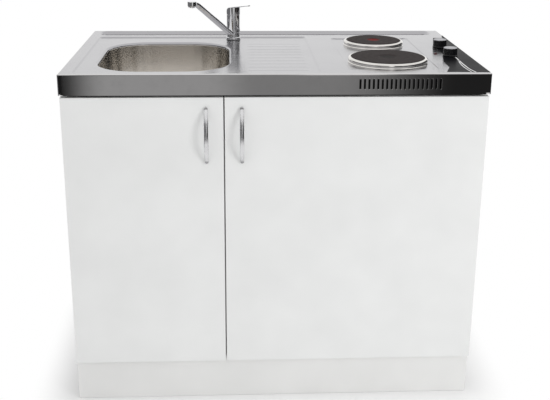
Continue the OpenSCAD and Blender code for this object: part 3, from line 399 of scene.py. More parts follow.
MOULDED = dict(
    door_white=((0.80, 0.805, 0.80), 0.38, 650.0, 0.00005),
    white_melamine=((0.79, 0.79, 0.78), 0.45, 700.0, 0.00006),
    pipe_plastic=((0.80, 0.80, 0.78), 0.35, 500.0),
    grey_plastic=((0.22, 0.23, 0.24), 0.45, 700.0),
    cartridge_plastic=((0.62, 0.62, 0.60), 0.3),
    black_plastic=((0.006, 0.006, 0.007), 0.14, 1200.0, 0.00001),
    # black_lacquer also serves as painted shade on the front stretcher behind the vent slots.
    black_lacquer=((0.012, 0.012, 0.012), 0.45, 700.0),
    dark_plastic=((0.02, 0.02, 0.022), 0.5, 900.0, 0.00006),
    print_black=((0.007, 0.007, 0.008), 0.3, 900.0, 0.00001),
    print_grey=((0.30, 0.30, 0.31), 0.4, 900.0, 0.00001),
    print_white=((0.78, 0.78, 0.78), 0.35, 900.0, 0.00001),
    lamp_red=((0.09, 0.008, 0.010), 0.2, 900.0, 0.00001),
    seal_rubber=((0.03, 0.03, 0.03), 0.7, 800.0, 0.0001),
    soft_dot=((0.62, 0.62, 0.60), 0.5, 500.0, 0.00005),
    ceramic=((0.72, 0.69, 0.62), 0.3, 600.0, 0.00008),
    wire_silicone=((0.40, 0.05, 0.03), 0.5, 900.0, 0.00005))
SOCKETS = dict(
    black_plastic=dict(Specular_IOR_Level=0.25), print_black=dict(Specular_IOR_Level=0.012),
    lamp_red=dict(Transmission_Weight=0.35), soft_dot=dict(Transmission_Weight=0.3))
IRON = (0.032, 0.026, 0.025)


def make_materials():
    m = {name: polished(name, *values) for name, values in POLISHED.items()}
    for name, values in BRUSHED.items():
        m[name] = brushed(name, *values)
    for name, values in MOULDED.items():
        m[name] = moulded(name, *values, **SOCKETS.get(name, {}))
    m["raw_batten"] = chipboard("raw_batten", (0.52, 0.38, 0.22))
    m["hardboard"] = hardboard("hardboard", (0.22, 0.12, 0.06), (0.74, 0.74, 0.72))
    m["front_iron"] = cast_plate("front_iron", IRON, PLATES[0][1], 0.020, (0.020, 0.018, 0.017))
    m["rear_iron"] = cast_plate("rear_iron", IRON, PLATES[1][1], 0.017, (0.16, 0.012, 0.010))
    return m


MAT = make_materials()


# ---------- steel top and bowl ----------

def inside(x, y, x0, y0, x1, y1, radius):
    """How far a point is inside a rounded rectangle; negative outside."""
    qx = abs(x - (x0 + x1) / 2) - (x1 - x0) / 2 + radius
    qy = abs(y - (y0 + y1) / 2) - (y1 - y0) / 2 + radius
    return radius - math.hypot(max(qx, 0.0), max(qy, 0.0)) - min(max(qx, qy), 0.0)


def pressed(x, y, rect, wall):
    """Depth of a pressed field at a point: 0 at its outline, full past its sloping wall."""
    x0, y0, x1, y1, radius, depth = rect
    return depth * smoothstep(inside(x, y, x0, y0, x1, y1, radius) / wall)


def rib_height(x, y):
    """Soft drainer ribs that run from the bowl's side to the right."""
    pitch = (RIBS["y1"] - RIBS["y0"]) / (RIBS["count"] - 1)
    k = min(max(round((y - RIBS["y0"]) / pitch), 0), RIBS["count"] - 1)
    across = abs(y - RIBS["y0"] - k * pitch)
    along = min(x - RIBS["x0"], RIBS["x1"] - x)
    if along < 0 or across > RIBS["w"]:
        return 0.0
    return RIBS["h"] * (1 - smoothstep(across / RIBS["w"])) * smoothstep(along / 8.0)


def top_height(x, y):
    drop = max(pressed(x, y, RECESS, 5.0), pressed(x, y, TROUGH, 9.0), pressed(x, y, HOB, 2.0))
    return TOP - drop + rib_height(x, y)


def wall_lines(a, b, wall, radius):
    """Grid lines that follow a field's two walls and the corners behind them."""
    steps = [wall * i / 5 for i in range(6)] + [wall + 3.0, radius, radius + wall]
    return [a + s for s in steps] + [b - s for s in steps]


def grid_lines(lines, low, high, widest):
    """Sorted lines without near duplicates, with more between those that are far apart."""
    kept = []
    for v in sorted(v for v in lines if low <= v <= high):
        if not kept or v - kept[-1] > 0.45:
            kept.append(v)
    kept[0], kept[-1] = low, high
    full = []
    for a, b in zip(kept, kept[1:]):
        n = max(1, math.ceil((b - a) / widest))
        full += [a + (b - a) * i / n for i in range(n)]
    return full + [high]


def outline_ray(angle, grow):
    """Where a ray from the bowl's centre meets the bowl's outline, grown or shrunk."""
    dx, dy = math.cos(angle), math.sin(angle)
    near, far = 0.0, 400.0
    for _ in range(40):
        mid = (near + far) / 2
        d = inside(BOWL_X + dx * mid, BOWL_Y + dy * mid, BOWL_X - BOWL_HALF[0],
                   BOWL_Y - BOWL_HALF[1], BOWL_X + BOWL_HALF[0], BOWL_Y + BOWL_HALF[1], BOWL_R)
        if d > -grow:
            near = mid
        else:
            far = mid
    return BOWL_X + dx * near, BOWL_Y + dy * near


def bowl_loop(angles, grow, drop):
    return [(*outline_ray(a, grow), RECESS_Z - drop) for a in angles]


SHEET_R = 3.0                  # outer bend of the sheet along its edges
PATCH_STEP = 6.0


def steps_between(low, high):
    n = round((high - low) / PATCH_STEP)
    return [low + (high - low) * i / n for i in range(1, n)]


def patch_border(xs, ys):
    """Grid points round the patch at the bowl, anticlockwise from its front left corner."""
    (x0, x1), (y0, y1) = FRAME_X, FRAME_Y
    px = [x for x in xs if x0 - 0.01 < x < x1 + 0.01]
    py = [y for y in ys if y0 - 0.01 < y < y1 + 0.01]
    border = [(x, y0) for x in px] + [(x1, y) for y in py[1:]]
    return border + [(x, y1) for x in px[-2::-1]] + [(x0, y) for y in py[-2:0:-1]]


def sheet_field(shape):
    """The pressed top as a grid, open at the bowl, the plates and the tap."""
    more_x = (wall_lines(RECESS[0], RECESS[2], 5, 12) + wall_lines(TROUGH[0], TROUGH[2], 9, 22)
              + wall_lines(HOB[0], HOB[2], 2, 14)
              + [RIBS["x0"] + 2 * i for i in range(5)] + [RIBS["x1"] - 2 * i for i in range(5)]
              + steps_between(*FRAME_X))
    more_x = [x for x in more_x if not SLOT_EDGES[0] < x < SLOT_EDGES[-1]]
    more_y = (wall_lines(RECESS[1], RECESS[3], 5, 12) + wall_lines(TROUGH[1], TROUGH[3], 9, 22)
              + wall_lines(HOB[1], HOB[3], 2, 14) + steps_between(*FRAME_Y))
    pitch = (RIBS["y1"] - RIBS["y0"]) / (RIBS["count"] - 1)
    for k in range(RIBS["count"]):
        more_y += [RIBS["y0"] + k * pitch + s for s in (-5, -3.5, -2, -0.8, 0.8, 2, 3.5, 5)]
    edge = SHEET_R

    def lines(keep, more, low, high):
        free = [v for v in more if all(abs(v - k) > 0.45 for k in keep)]
        return grid_lines(keep + free + [low, high], low, high, 11.0)

    xs = lines(SLOT_EDGES + list(FRAME_X), more_x, -HALF_W + edge, HALF_W - edge)
    ys = lines(list(FRAME_Y), more_y, edge, DEPTH - edge)
    base, ny = len(shape.verts), len(ys)
    shape.verts += [(x, y, top_height(x, y)) for x in xs for y in ys]
    holes = [(HOB_X, y, r - 4) for _, y, r, _ in PLATES] + [(*TAP, 12.0)]
    for i in range(len(xs) - 1):
        for j in range(ny - 1):
            mx, my = (xs[i] + xs[i + 1]) / 2, (ys[j] + ys[j + 1]) / 2
            if FRAME_X[0] < mx < FRAME_X[1] and FRAME_Y[0] < my < FRAME_Y[1]:
                continue
            if any(math.hypot(mx - hx, my - hy) < r for hx, hy, r in holes):
                continue
            a = base + i * ny + j
            shape.faces.append([a, a + ny, a + ny + 1, a + 1])
            shape.slots.append(0)
    return xs, ys


def slot_cell(shape, x0, x1, z0, z1):
    """One vent slot with its edge rolled inward, in a cell of the front apron."""
    half_w, half_h = SLOTS["w"] / 2, SLOTS["h"] / 2
    xc = (x0 + x1) / 2

    def stadium(grow, depth):
        out = []
        for cz, start in ((half_h - half_w, 0), (-half_h + half_w, 180)):
            for i in range(7):
                a = math.radians(start + 30 * i)
                out.append((xc + (half_w + grow) * math.cos(a), depth,
                            SLOTS["z"] + cz + (half_w + grow) * math.sin(a)))
        return out

    outer = [(x1, 0.0, z1)] * 4 + [(x0, 0.0, z1)] * 3 + [(x0, 0.0, z0)] * 4 + [(x1, 0.0, z0)] * 3
    shape.loft([outer, stadium(0.8, 0.0), stadium(0.3, 0.0), stadium(0.08, 0.08),
                stadium(0.0, 0.3), stadium(0.0, 1.4)], slot=1)


def sheet_edges(shape, xs, ys):
    """Rounded outer edge, aprons with the vent slots, back lip and the hem at the front."""
    left, right, front, back = xs[0], xs[-1], ys[0], ys[-1]

    def fan(x, y, a0):
        return [(x, y, math.cos(math.radians(a0 + 15 * i)), math.sin(math.radians(a0 + 15 * i)))
                for i in range(7)]

    side_l = [(left, y, -1.0, 0.0) for y in reversed(ys[1:-1])]
    side_r = [(right, y, 1.0, 0.0) for y in ys[1:-1]]
    front_row = [(x, front, 0.0, -1.0) for x in xs[1:-1]]
    back_row = [(x, back, 0.0, 1.0) for x in reversed(xs[1:-1])]
    apron = ([(left, back, -1.0, 0.0)] + side_l + fan(left, front, 180) + front_row
             + fan(right, front, 270) + side_r + [(right, back, 1.0, 0.0)])
    lip = fan(right, back, 0)[1:] + back_row + fan(left, back, 90)[:-1]
    whole = apron + lip

    def ring(points, reach, drop):
        return [(x + nx * reach, y + ny * reach, TOP - drop) for x, y, nx, ny in points]

    bend = [ring(whole, SHEET_R * math.sin(math.radians(a)),
                 SHEET_R * (1 - math.cos(math.radians(a)))) for a in range(0, 91, 15)]
    shape.loft(bend + [ring(whole, SHEET_R, 6.0)], slot=1, flip=True)
    levels = [6.0, TOP - CELL_Z[1], TOP - CELL_Z[0], 46.0, TOP - APRON_BOTTOM]
    rows = [ring(apron, SHEET_R, d) for d in levels]
    for low, high in zip(rows[1:], rows):
        for j in range(len(apron) - 1):
            at_front = max(high[j][1], high[j + 1][1]) < 1e-6
            mid = (high[j][0] + high[j + 1][0]) / 2
            if high is rows[1] and at_front and SLOT_EDGES[0] < mid < SLOT_EDGES[-1]:
                continue
            shape.quad(high[j], low[j], low[j + 1], high[j + 1], slot=1)
    for x0, x1 in zip(SLOT_EDGES, SLOT_EDGES[1:]):
        slot_cell(shape, x0, x1, *CELL_Z)
    z, hem = APRON_BOTTOM, 10.0
    for xa, xb in zip(xs, xs[1:]):
        shape.quad((xa, 0.0, z), (xa, hem, z), (xb, hem, z), (xb, 0.0, z), slot=1)


def make_sheet():
    shape = Shape()
    xs, ys = sheet_field(shape)
    border = patch_border(xs, ys)
    angles = [math.atan2(y - BOWL_Y, x - BOWL_X) for x, y in border]
    flat = [(x, y, RECESS_Z) for x, y in border]
    rim = bowl_loop(angles, RIM_R, 0.0)
    between = [[tuple(a[c] + (b[c] - a[c]) * t for c in range(3)) for a, b in zip(flat, rim)]
               for t in (0.5, 0.93)]
    roll = [bowl_loop(angles, RIM_R * (1 - math.sin(math.radians(a))),
                      RIM_R * (1 - math.cos(math.radians(a)))) for a in range(15, 91, 15)]
    shape.loft([flat, *between, rim, *roll, bowl_loop(angles, 0.0, RIM_R + 0.6)])
    sheet_edges(shape, xs, ys)
    shape.finish("worktop_sheet_pressed", "cabinet", [MAT["worktop_steel"], MAT["apron_steel"]],
                 "worktop_steel", replaces=("worktop_sheet",), angle=40, outward=False,
                 thickness=0.0008)
    return angles


def make_bowl(angles):
    shape = Shape()
    draft, slope = 3.0, 2.0
    side_end = BOWL_DEPTH - slope - BOWL_FILLET
    loops = [bowl_loop(angles, 0.0, RIM_R + 0.6), bowl_loop(angles, 0.0, RIM_R + 1.4)]
    for i in range(1, 9):
        t = i / 8
        loops.append(bowl_loop(angles, -draft * t, RIM_R + (side_end - RIM_R) * t))
    for a in range(10, 91, 10):
        s, c = math.sin(math.radians(a)), math.cos(math.radians(a))
        loops.append(bowl_loop(angles, -draft - BOWL_FILLET * (1 - c),
                               side_end + BOWL_FILLET * s))
    last, flat_z = loops[-1], RECESS_Z - BOWL_DEPTH
    for t in (0.25, 0.5, 0.75, 1.0):
        ring = []
        for (x, y, z), a in zip(last, angles):
            cx, cy = BOWL_X + 60 * math.cos(a), BOWL_Y + 60 * math.sin(a)
            ring.append((x + (cx - x) * t, y + (cy - y) * t, z + (flat_z - z) * t))
        loops.append(ring)
    for r in (58.0, 46.0):
        loops.append([(BOWL_X + r * math.cos(a), BOWL_Y + r * math.sin(a), flat_z)
                      for a in angles])
    shape.loft(loops)
    shape.finish("sink_bowl_drawn", "cabinet", [MAT["bowl_steel"]], "bowl_steel",
                 replaces=("sink_bowl",), angle=60, outward=False, thickness=0.0009)


# ---------- tap ----------

def tap_lathe(shape, profile, along=0.0, turn=0.0, segments=72):
    """A turned part on the tap's axis, or at a reach along a direction from it."""
    cx = TAP[0] + along * math.cos(math.radians(turn))
    cy = TAP[1] + along * math.sin(math.radians(turn))
    shape.loft(lathe_loops(cx, cy, [(r, RECESS_Z + z) for r, z in profile], segments))


def on_tap(loops, angle):
    """Loops laid out along +X from the tap's axis, turned to an angle and set on the sheet."""
    c, s = math.cos(math.radians(angle)), math.sin(math.radians(angle))
    return [[(TAP[0] + c * x - s * y, TAP[1] + s * x + c * y, RECESS_Z + z) for x, y, z in loop]
            for loop in loops]


def finish_tap(shape, name, node, body="cabinet", **more):
    shape.finish(name, body, [MAT["tap_chrome"]], "tap_chrome", replaces=(node,), **more)


def softened(corners, r):
    """A (radius, z) profile with its inner corners cut to small arcs of three points."""
    out = [corners[0]]
    for a, b, c in zip(corners, corners[1:], corners[2:]):
        ab = Vector((a[0] - b[0], a[1] - b[1]))
        cb = Vector((c[0] - b[0], c[1] - b[1]))
        cut = min(r, ab.length * 0.45, cb.length * 0.45)
        p = Vector(b) + ab.normalized() * cut
        q = Vector(b) + cb.normalized() * cut
        mid = (p + q) * 0.29 + Vector(b) * 0.42
        out += [tuple(p), tuple(mid), tuple(q)]
    return out + [corners[-1]]


def make_base_ring():
    shape = Shape()
    tap_lathe(shape, softened([(15.3, 1.2), (20.0, 1.2), (20.0, 6.6), (18.6, 8.0), (15.3, 8.0),
                               (15.3, 1.2)], 0.6))
    finish_tap(shape, "tap_base_turned", "tap_base_ring")


def make_tap_body():
    """Housing above the spout's ring, and the threaded shank through the sheet."""
    shape = Shape()
    thread = []
    z = -45.0
    while z < -5.0:
        thread += [(15.0, z), (14.4, z + 0.75)]
        z += 1.5
    body = softened([(15.0, 21.3), (18.8, 21.3), (18.8, 69.6), (16.2, 69.6), (16.2, 52.0)], 0.7)
    tap_lathe(shape, [(0.05, -45.3), (14.2, -45.3)] + thread + [(15.0, -4.0)] + body
              + [(0.05, 52.0)])
    finish_tap(shape, "tap_body_turned", "tap_body", outward=False)


def interpolate(points, s):
    for (a, za), (b, zb) in zip(points, points[1:]):
        if s <= b:
            return za + (zb - za) * max(0.0, s - a) / (b - a)
    return points[-1][1]


def make_spout():
    """Ring on the tap's core, rising flat arm with soft edges, and the turned outlet."""
    shape = Shape()
    tap_lathe(shape, softened([(15.2, 8.6), (18.8, 8.6), (18.8, 20.4), (15.2, 20.4),
                               (15.2, 8.6)], 0.7))
    upper = spline([(10.0, 20.6), (20.0, 26.8), (60.0, 53.2), (110.0, 86.1), (145.0, 109.1),
                    (158.0, 117.4), (168.0, 122.1), (177.0, 123.7), (183.0, 123.8)], 5)
    lower = [(8.0, 8.8), (160.0, 106.6), (166.0, 110.0), (170.0, 111.8), (183.0, 112.2)]
    loops = []
    for s in [10.0 + 170.0 * i / 40 for i in range(41)]:
        low, high = interpolate(lower, s), interpolate(upper, s)
        width = 23.6 - 5.6 * s / 181.0
        section = box_section(width, high - low, min(4.2, (high - low) * 0.36), 4)
        loops.append([(s, -a, (low + high) / 2 + b) for a, b in section])
    shape.tube(on_tap(loops, SPOUT_TURN))
    tap_lathe(shape, softened([(9.2, 120.0), (9.2, 112.0), (12.0, 112.0), (12.0, 124.0),
                               (0.05, 124.0)], 1.4), 181.0, SPOUT_TURN)
    finish_tap(shape, "tap_spout_cast", "tap_spout", "spout", angle=32)


CAP_R = 19.5
CAP_FOOT, CAP_TOP = 70.1, 89.6
BLADE_ANGLE = math.radians(9.3)
BLADE_RISE = math.tan(BLADE_ANGLE)


def cap_foot(along):
    """The cap's lower edge rises at the back so that the lever can tip."""
    return CAP_FOOT + max(0.0, -along) * math.tan(math.radians(22))


def make_lever():
    """Cap with a slanted top, round at the back, and the thin blade, on a short stem."""
    shape = Shape()
    steps_round = around(96)
    loops = [[] for _ in range(14)]
    for ca, sa in steps_round:
        back = smoothstep((0.55 - ca) / 1.3)
        bend = 1.6 + 10.5 * back
        plane = CAP_TOP + BLADE_RISE * CAP_R * ca
        steps = [(CAP_R - 1.6, cap_foot(ca * (CAP_R - 1.6))), (CAP_R - 0.4, cap_foot(ca * CAP_R)),
                 (CAP_R, cap_foot(ca * CAP_R) + 0.5)]
        for k in range(8):
            t = math.radians(90 * k / 7)
            steps.append((CAP_R - bend * (1 - math.cos(t)), plane - bend * (1 - math.sin(t))))
        rest = CAP_R - bend
        for f in (0.66, 0.33, 0.003):
            lift = 0.5 * (1 - f * f)
            steps.append((rest * f, CAP_TOP + lift + BLADE_RISE * rest * f * ca))
        for loop, (r, z) in zip(loops, steps):
            loop.append((r * ca, r * sa, z))
    shape.loft(on_tap(loops, LEVER_TURN))
    hollow = ((CAP_R - 1.6, 0.0), (CAP_R - 2.0, 3.0), (CAP_R - 6.0, 9.0), (4.0, 12.5))
    inner = [[(r * c, r * s, cap_foot(r * c * (1 - drop / 12.5)) + drop) for c, s in steps_round]
             for r, drop in hollow]
    shape.loft(on_tap(inner, LEVER_TURN), flip=True)
    widths = [(0.0, 24.0), (30.0, 20.3), (60.0, 16.4), (76.0, 14.2), (82.0, 11.6), (85.0, 7.5)]
    blade = []
    for s in [4 + 76 * i / 12 for i in range(13)] + [82.2, 83.6, 84.6, 85.0]:
        width, thick = interpolate(widths, s), 3.4 - 1.3 * s / 85.0
        top = 86.1 + 3.5 + s * BLADE_RISE - 0.02
        section = box_section(width, thick, thick * 0.42, 3)
        blade.append([(s * math.cos(BLADE_ANGLE), -a, top - thick / 2 + b) for a, b in section])
    shape.tube(on_tap(blade, LEVER_TURN))
    tap_lathe(shape, [(0.05, 58.0), (3.0, 58.0), (3.0, 84.0), (0.05, 84.0)], segments=24)
    finish_tap(shape, "tap_lever_cast", "tap_lever", "lever", angle=38, outward=False)


# ---------- hob ----------

def make_plate(node, y, r, dish):
    """Cast plate with a soft rim and a dished middle, its skirt and its stud."""
    shape = Shape()
    top, edge = 13.5, 2.4
    profile = [(0.05, -12.0), (r - 6, -12.0), (r - 6, 2.5), (r - 1.0, 2.5), (r, 3.4)]
    profile += [(r, top - edge - 1.2)] + [(r - edge + edge * math.cos(math.radians(a)),
                                           top - edge + edge * math.sin(math.radians(a)))
                                          for a in range(0, 91, 15)]
    profile += [(r * f, top - 0.25 * (1 - f)) for f in (0.85, 0.7, 0.55, 0.42)]
    rim = top - 0.2
    profile += [(dish + 3.5, rim), (dish + 1.8, rim - 0.15), (dish, rim - 0.7),
                (dish - 1.6, rim - 1.1), (dish - 4, rim - 1.2), (0.05, rim - 1.25)]
    shape.loft(lathe_loops(HOB_X, y, [(q, 848.0 + z) for q, z in profile], 128))
    shape.loft(lathe_loops(HOB_X, y, [(0.05, 814.0), (2.6, 814.0), (3.0, 814.6), (3.0, 838.0)], 20))
    shape.finish(node + "_cast", "cabinet", [MAT["front_iron" if r > 80 else "rear_iron"]],
                 "plate_iron", replaces=(node,), angle=30, outward=False)


def make_spill_rings():
    """Bright rings: a foot on the sheet, a hollow, then a round lip against the plate."""
    shape = Shape()
    for _, y, r, _ in PLATES:
        outer = spline([(8.5, 0.1), (8.5, 0.8), (7.8, 1.5), (7.2, 2.6), (7.3, 4.4), (7.6, 6.4),
                        (7.4, 8.4), (6.7, 10.0), (5.4, 11.3), (3.4, 12.0), (0.6, 12.2)], 3)
        inner = [(0.6, 11.2), (3.2, 11.0), (4.8, 10.4), (5.8, 9.4), (6.5, 7.6), (6.2, 1.2),
                 (1.9, 1.2), (1.9, 0.1)]
        closed = outer + inner + outer[:1]
        shape.loft(lathe_loops(HOB_X, y, [(r + q, 848.0 + z) for q, z in closed], 128))
    shape.finish("spill_rings_drawn", "cabinet", [MAT["ring_steel"]], "ring_steel",
                 replaces=("spill_rings",), angle=40, outward=False)


def make_knob(node, y):
    """Black knob with fine flutes, a satin metal cap and a dark pointer line."""
    shape = Shape()
    foot, top = 851.0, 872.0
    r = KNOB_R
    profile = [(0.05, foot), (r - 0.6, foot), (r, foot + 0.6), (r, foot + 2.4), (r - 0.6, foot + 3.0),
               (r - 1.1, foot + 3.8), (r - 1.7, top - 3.2), (r - 2.0, top - 2.4)]
    loops = []
    n = 120
    for q, z in profile:
        wave = 0.35 if foot + 3.2 < z < top - 3.0 else 0.0
        loops.append([(KNOB_X + (q - wave * (i % 4 > 1)) * c, y + (q - wave * (i % 4 > 1)) * s, z)
                      for i, (c, s) in enumerate(around(n))])
    shape.loft(loops)
    rc = r - 1.9
    cap = [(rc - 0.3, top - 2.4), (rc, top - 2.1), (rc, top - 0.9), (rc - 0.9, top), (0.05, top)]
    shape.loft(lathe_loops(KNOB_X, y, cap, n), slot=1)
    mark = ((rc - 7.5, -0.7), (rc - 0.9, -0.7), (rc - 0.9, 0.7), (rc - 7.5, 0.7))
    shape.loft([[(KNOB_X + a, y + b, top + z) for a, b in mark] for z in (-0.3, 0.06)], slot=2)
    shape.cap([(KNOB_X + a, y + b, top + 0.06) for a, b in mark], slot=2)
    shape.loft(lathe_loops(KNOB_X, y, [(0.05, 831.2), (3.0, 831.2), (3.0, foot + 1)], 32))
    shape.finish(node + "_moulded", node, [MAT["black_plastic"], MAT["knob_cap"],
                                           MAT["print_black"]],
                 "black_plastic", replaces=(node,), angle=38, outward=False)


def ribbon(shape, points, width, z, slot=0):
    """A flat strip of even width along a curve."""
    path = spline([(x, y) for x, y in points], 10)
    left, right = [], []
    for i, (x, y) in enumerate(path):
        a, b = path[max(i - 1, 0)], path[min(i + 1, len(path) - 1)]
        d = Vector((b[0] - a[0], b[1] - a[1])).normalized()
        w = width / 2
        left.append((x - d.y * w, y + d.x * w, z))
        right.append((x + d.y * w, y - d.x * w, z))
    for i in range(len(path) - 1):
        shape.quad(left[i], right[i], right[i + 1], left[i + 1], slot)


def make_print_lines():
    """Plain light lines on the dark print beside the knobs, and grey arcs left of it."""
    lines = Shape()
    z = TOP + 0.34
    ribbon(lines, [(462, 268), (460, 215), (458, 155), (457, 100), (458, 48), (464, 10)], 3.0, z)
    ribbon(lines, [(459, 150), (453, 125), (450, 70), (454, 10)], 2.4, z)
    lines.finish("control_print_lines", "cabinet", [MAT["print_white"]], "print_black",
                 outward=False)
    arcs = Shape()
    for shift in (5.0, 10.0, 15.0):
        ribbon(arcs, [(411 - shift, 118), (405 - shift, 66), (396 - shift, 36), (394 - shift, 10)],
               1.0, TOP + 0.12)
    arcs.finish("sheet_print_arcs", "cabinet", [MAT["print_grey"]], "print_black",
                outward=False)


# ---------- handles ----------

def make_handle(side, x):
    """Bow handle: one arc with a lens-shaped section that thins out at both ends."""
    shape = Shape()
    radius, centre_y, half_angle = 103.4, 80.9, math.radians(41.1)
    loops = []
    for i in range(61):
        t = -1 + 2 * i / 60
        a = t * half_angle
        taper = 1 - 0.5 * abs(t) ** 7
        half_w, half_t = 5.0 * taper, 2.45 * (1 - 0.35 * abs(t) ** 5)
        loop = []
        for c, s in around(20):
            out = radius + half_t * s * (0.75 if s < 0 else 1.0)
            loop.append((x + half_w * c, min(centre_y - out * math.cos(a), 3.0),
                         HANDLE_Z + out * math.sin(a)))
        loops.append(loop)
    shape.tube(loops)
    for z in (-64.0, 64.0):
        foot = [[(x + r * c, y, HANDLE_Z + z + r * s) for c, s in around(32)]
                for r, y in ((0.05, 2.98), (4.0, 2.98), (4.0, -3.2), (0.05, -3.2))]
        shape.loft(foot, flip=True)
    shape.finish(side + "_handle_bow", side + "_door", [MAT["handle_metal"]], "handle_metal",
                 replaces=(side + "_handle",), angle=40)


# ---------- CAD nodes that keep their shape ----------

def finish_cad_nodes():
    """Better materials on every node that stays, and a fine edge break on the boards."""
    slots = {"plate_iron": "front_iron"}
    # The front stretcher behind the vent slots gets the black lacquer material as painted shade, so
    # that the slots read dark.
    own = {"terminal_box": "dark_plastic", "hob_switches": "dark_plastic",
           "cable_gland": "dark_plastic", "front_stretcher": "black_lacquer"}
    boards = {"left_side_panel": 0.5, "right_side_panel": 0.5, "divider_panel": 0.5,
              "cupboard_floor": 0.5, "plinth_board": 0.5, "rear_rails": 0.5, "shelf": 0.5,
              "left_door": 0.8, "right_door": 0.8, "terminal_box": 0.8, "hob_switches": 0.6,
              "trap_cup": 1.0, "waste_nuts": 0.8, "waste_flange": 0.3, "tap_aerator": 0.3,
              "pilot_lamp": 0.3}
    for row in frame["record"]["subparts"]:
        node, slot_name = NODES[row["node"]], row["material_slot"]
        material = MAT[own.get(row["node"], slots.get(slot_name, slot_name))]
        if not node.material_slots:
            node.data.materials.append(material)
        for slot in node.material_slots:
            slot.material = material
        if row["node"] in boards:
            weld = node.modifiers.new("weld", "WELD")
            weld.merge_threshold = 0.00001
            bevel = node.modifiers.new("edge_break", "BEVEL")
            bevel.width = boards[row["node"]] / 1000.0
            bevel.segments = 2
            bevel.limit_method = "ANGLE"
            bevel.angle_limit = math.radians(40)
            bevel.harden_normals = True


# ---------- room, light and camera ----------

def emission(name, colour, strength=1.0):
    material = bpy.data.materials.new(name)
    material.use_nodes = True
    tree = material.node_tree
    tree.nodes.clear()
    glow = tree.nodes.new("ShaderNodeEmission")
    glow.inputs["Color"].default_value = (*colour, 1.0)
    glow.inputs["Strength"].default_value = strength
    out = tree.nodes.new("ShaderNodeOutputMaterial")
    tree.links.new(glow.outputs[0], out.inputs["Surface"])
    return material, tree, glow


def flat_panel(name, corners, material):
    mesh = bpy.data.meshes.new(name)
    mesh.from_pydata(corners, [], [(0, 1, 2, 3)])
    mesh.materials.append(material)
    panel = bpy.data.objects.new(name, mesh)
    bpy.context.scene.collection.objects.link(panel)
    return panel


AMBIENT = 0.62


def make_world():
    """White to the camera and in metal; a plain even light on everything else."""
    world = bpy.data.worlds.new("room")
    world.use_nodes = True
    tree = world.node_tree
    background = tree.nodes["Background"]
    background.inputs["Color"].default_value = (1.0, 1.0, 1.0, 1.0)
    path = tree.nodes.new("ShaderNodeLightPath")
    seen = path.outputs["Is Camera Ray"]
    for other in ("Is Glossy Ray", "Is Transmission Ray"):
        top = tree.nodes.new("ShaderNodeMath")
        top.operation = "MAXIMUM"
        tree.links.new(seen, top.inputs[0])
        tree.links.new(path.outputs[other], top.inputs[1])
        seen = top.outputs[0]
    level = tree.nodes.new("ShaderNodeMapRange")
    tree.links.new(seen, level.inputs["Value"])
    level.inputs["To Min"].default_value = AMBIENT
    level.inputs["To Max"].default_value = 1.0
    tree.links.new(level.outputs[0], background.inputs["Strength"])
    bpy.context.scene.world = world


FLOOR_FOOT = (0.46, 0.24, 0.0)                # half sides of the shaded patch round the plinth
FLOOR_FADE = (0.03, 0.17)                     # shadow fades to white over this distance from it


def make_floor():
    """Pale floor that keeps the contact shadow and fades to plain white away from it."""
    material = bpy.data.materials.new("floor_white")
    material.use_nodes = True
    tree = material.node_tree
    links = tree.links
    shader = tree.nodes["Principled BSDF"]
    shader.inputs["Base Color"].default_value = (0.9, 0.9, 0.9, 1.0)
    shader.inputs["Roughness"].default_value = 0.8
    shader.inputs["Specular IOR Level"].default_value = 0.1

    def vector(operation, source, value=(0.0, 0.0, 0.0)):
        n = tree.nodes.new("ShaderNodeVectorMath")
        n.operation = operation
        n.inputs[1].default_value = value
        links.new(source, n.inputs[0])
        return n

    def scalar(operation, a, b):
        n = tree.nodes.new("ShaderNodeMath")
        n.operation = operation
        links.new(a, n.inputs[0])
        links.new(b, n.inputs[1])
        return n.outputs[0]

    coords = tree.nodes.new("ShaderNodeTexCoord")
    mirrored = vector("ABSOLUTE", coords.outputs["Object"])
    beyond = vector("SUBTRACT", mirrored.outputs[0], FLOOR_FOOT)
    away = vector("LENGTH", vector("MAXIMUM", beyond.outputs[0]).outputs[0])
    fade = tree.nodes.new("ShaderNodeMapRange")
    fade.interpolation_type = "SMOOTHSTEP"
    fade.inputs["From Min"].default_value, fade.inputs["From Max"].default_value = FLOOR_FADE
    links.new(away.outputs["Value"], fade.inputs["Value"])
    path = tree.nodes.new("ShaderNodeLightPath")
    eye = scalar("MAXIMUM", path.outputs["Is Camera Ray"], path.outputs["Is Glossy Ray"])
    glow = tree.nodes.new("ShaderNodeEmission")
    mix = tree.nodes.new("ShaderNodeMixShader")
    links.new(scalar("MULTIPLY", eye, fade.outputs[0]), mix.inputs[0])
    links.new(shader.outputs[0], mix.inputs[1])
    links.new(glow.outputs[0], mix.inputs[2])
    links.new(mix.outputs[0], tree.nodes["Material Output"].inputs["Surface"])
    side, z = 9.0, -0.0005
    flat_panel("floor", [(-side, -side, z), (side, -side, z), (side, side, z), (-side, side, z)],
               material)


CARD_Y, CARD_X, CARD_TOP = -1.7875, 1.3, 1.5          # front card: place, half width, height
CARD_SPAN = 2.0                                       # half width that the colour stops use
CARD_BLEND = (0.57, 0.63)                             # height where low turns into high
SIDE_END, SIDE_TOP = 1.2, 1.3
SIDE_TONES = (("left", -CARD_X, 0.16), ("right", CARD_X, 0.012))
FRONT_LOW = ((-0.8, 0.01), (-0.6, 0.4), (-0.2, 0.4), (0.0, 0.27), (0.3, 0.27), (0.8, 0.02))
FRONT_HIGH = ((-0.8, 0.05), (-0.4, 0.3), (0.1, 0.35), (0.25, 1.0), (0.45, 1.0), (0.6, 0.1),
              (1.0, 0.01))


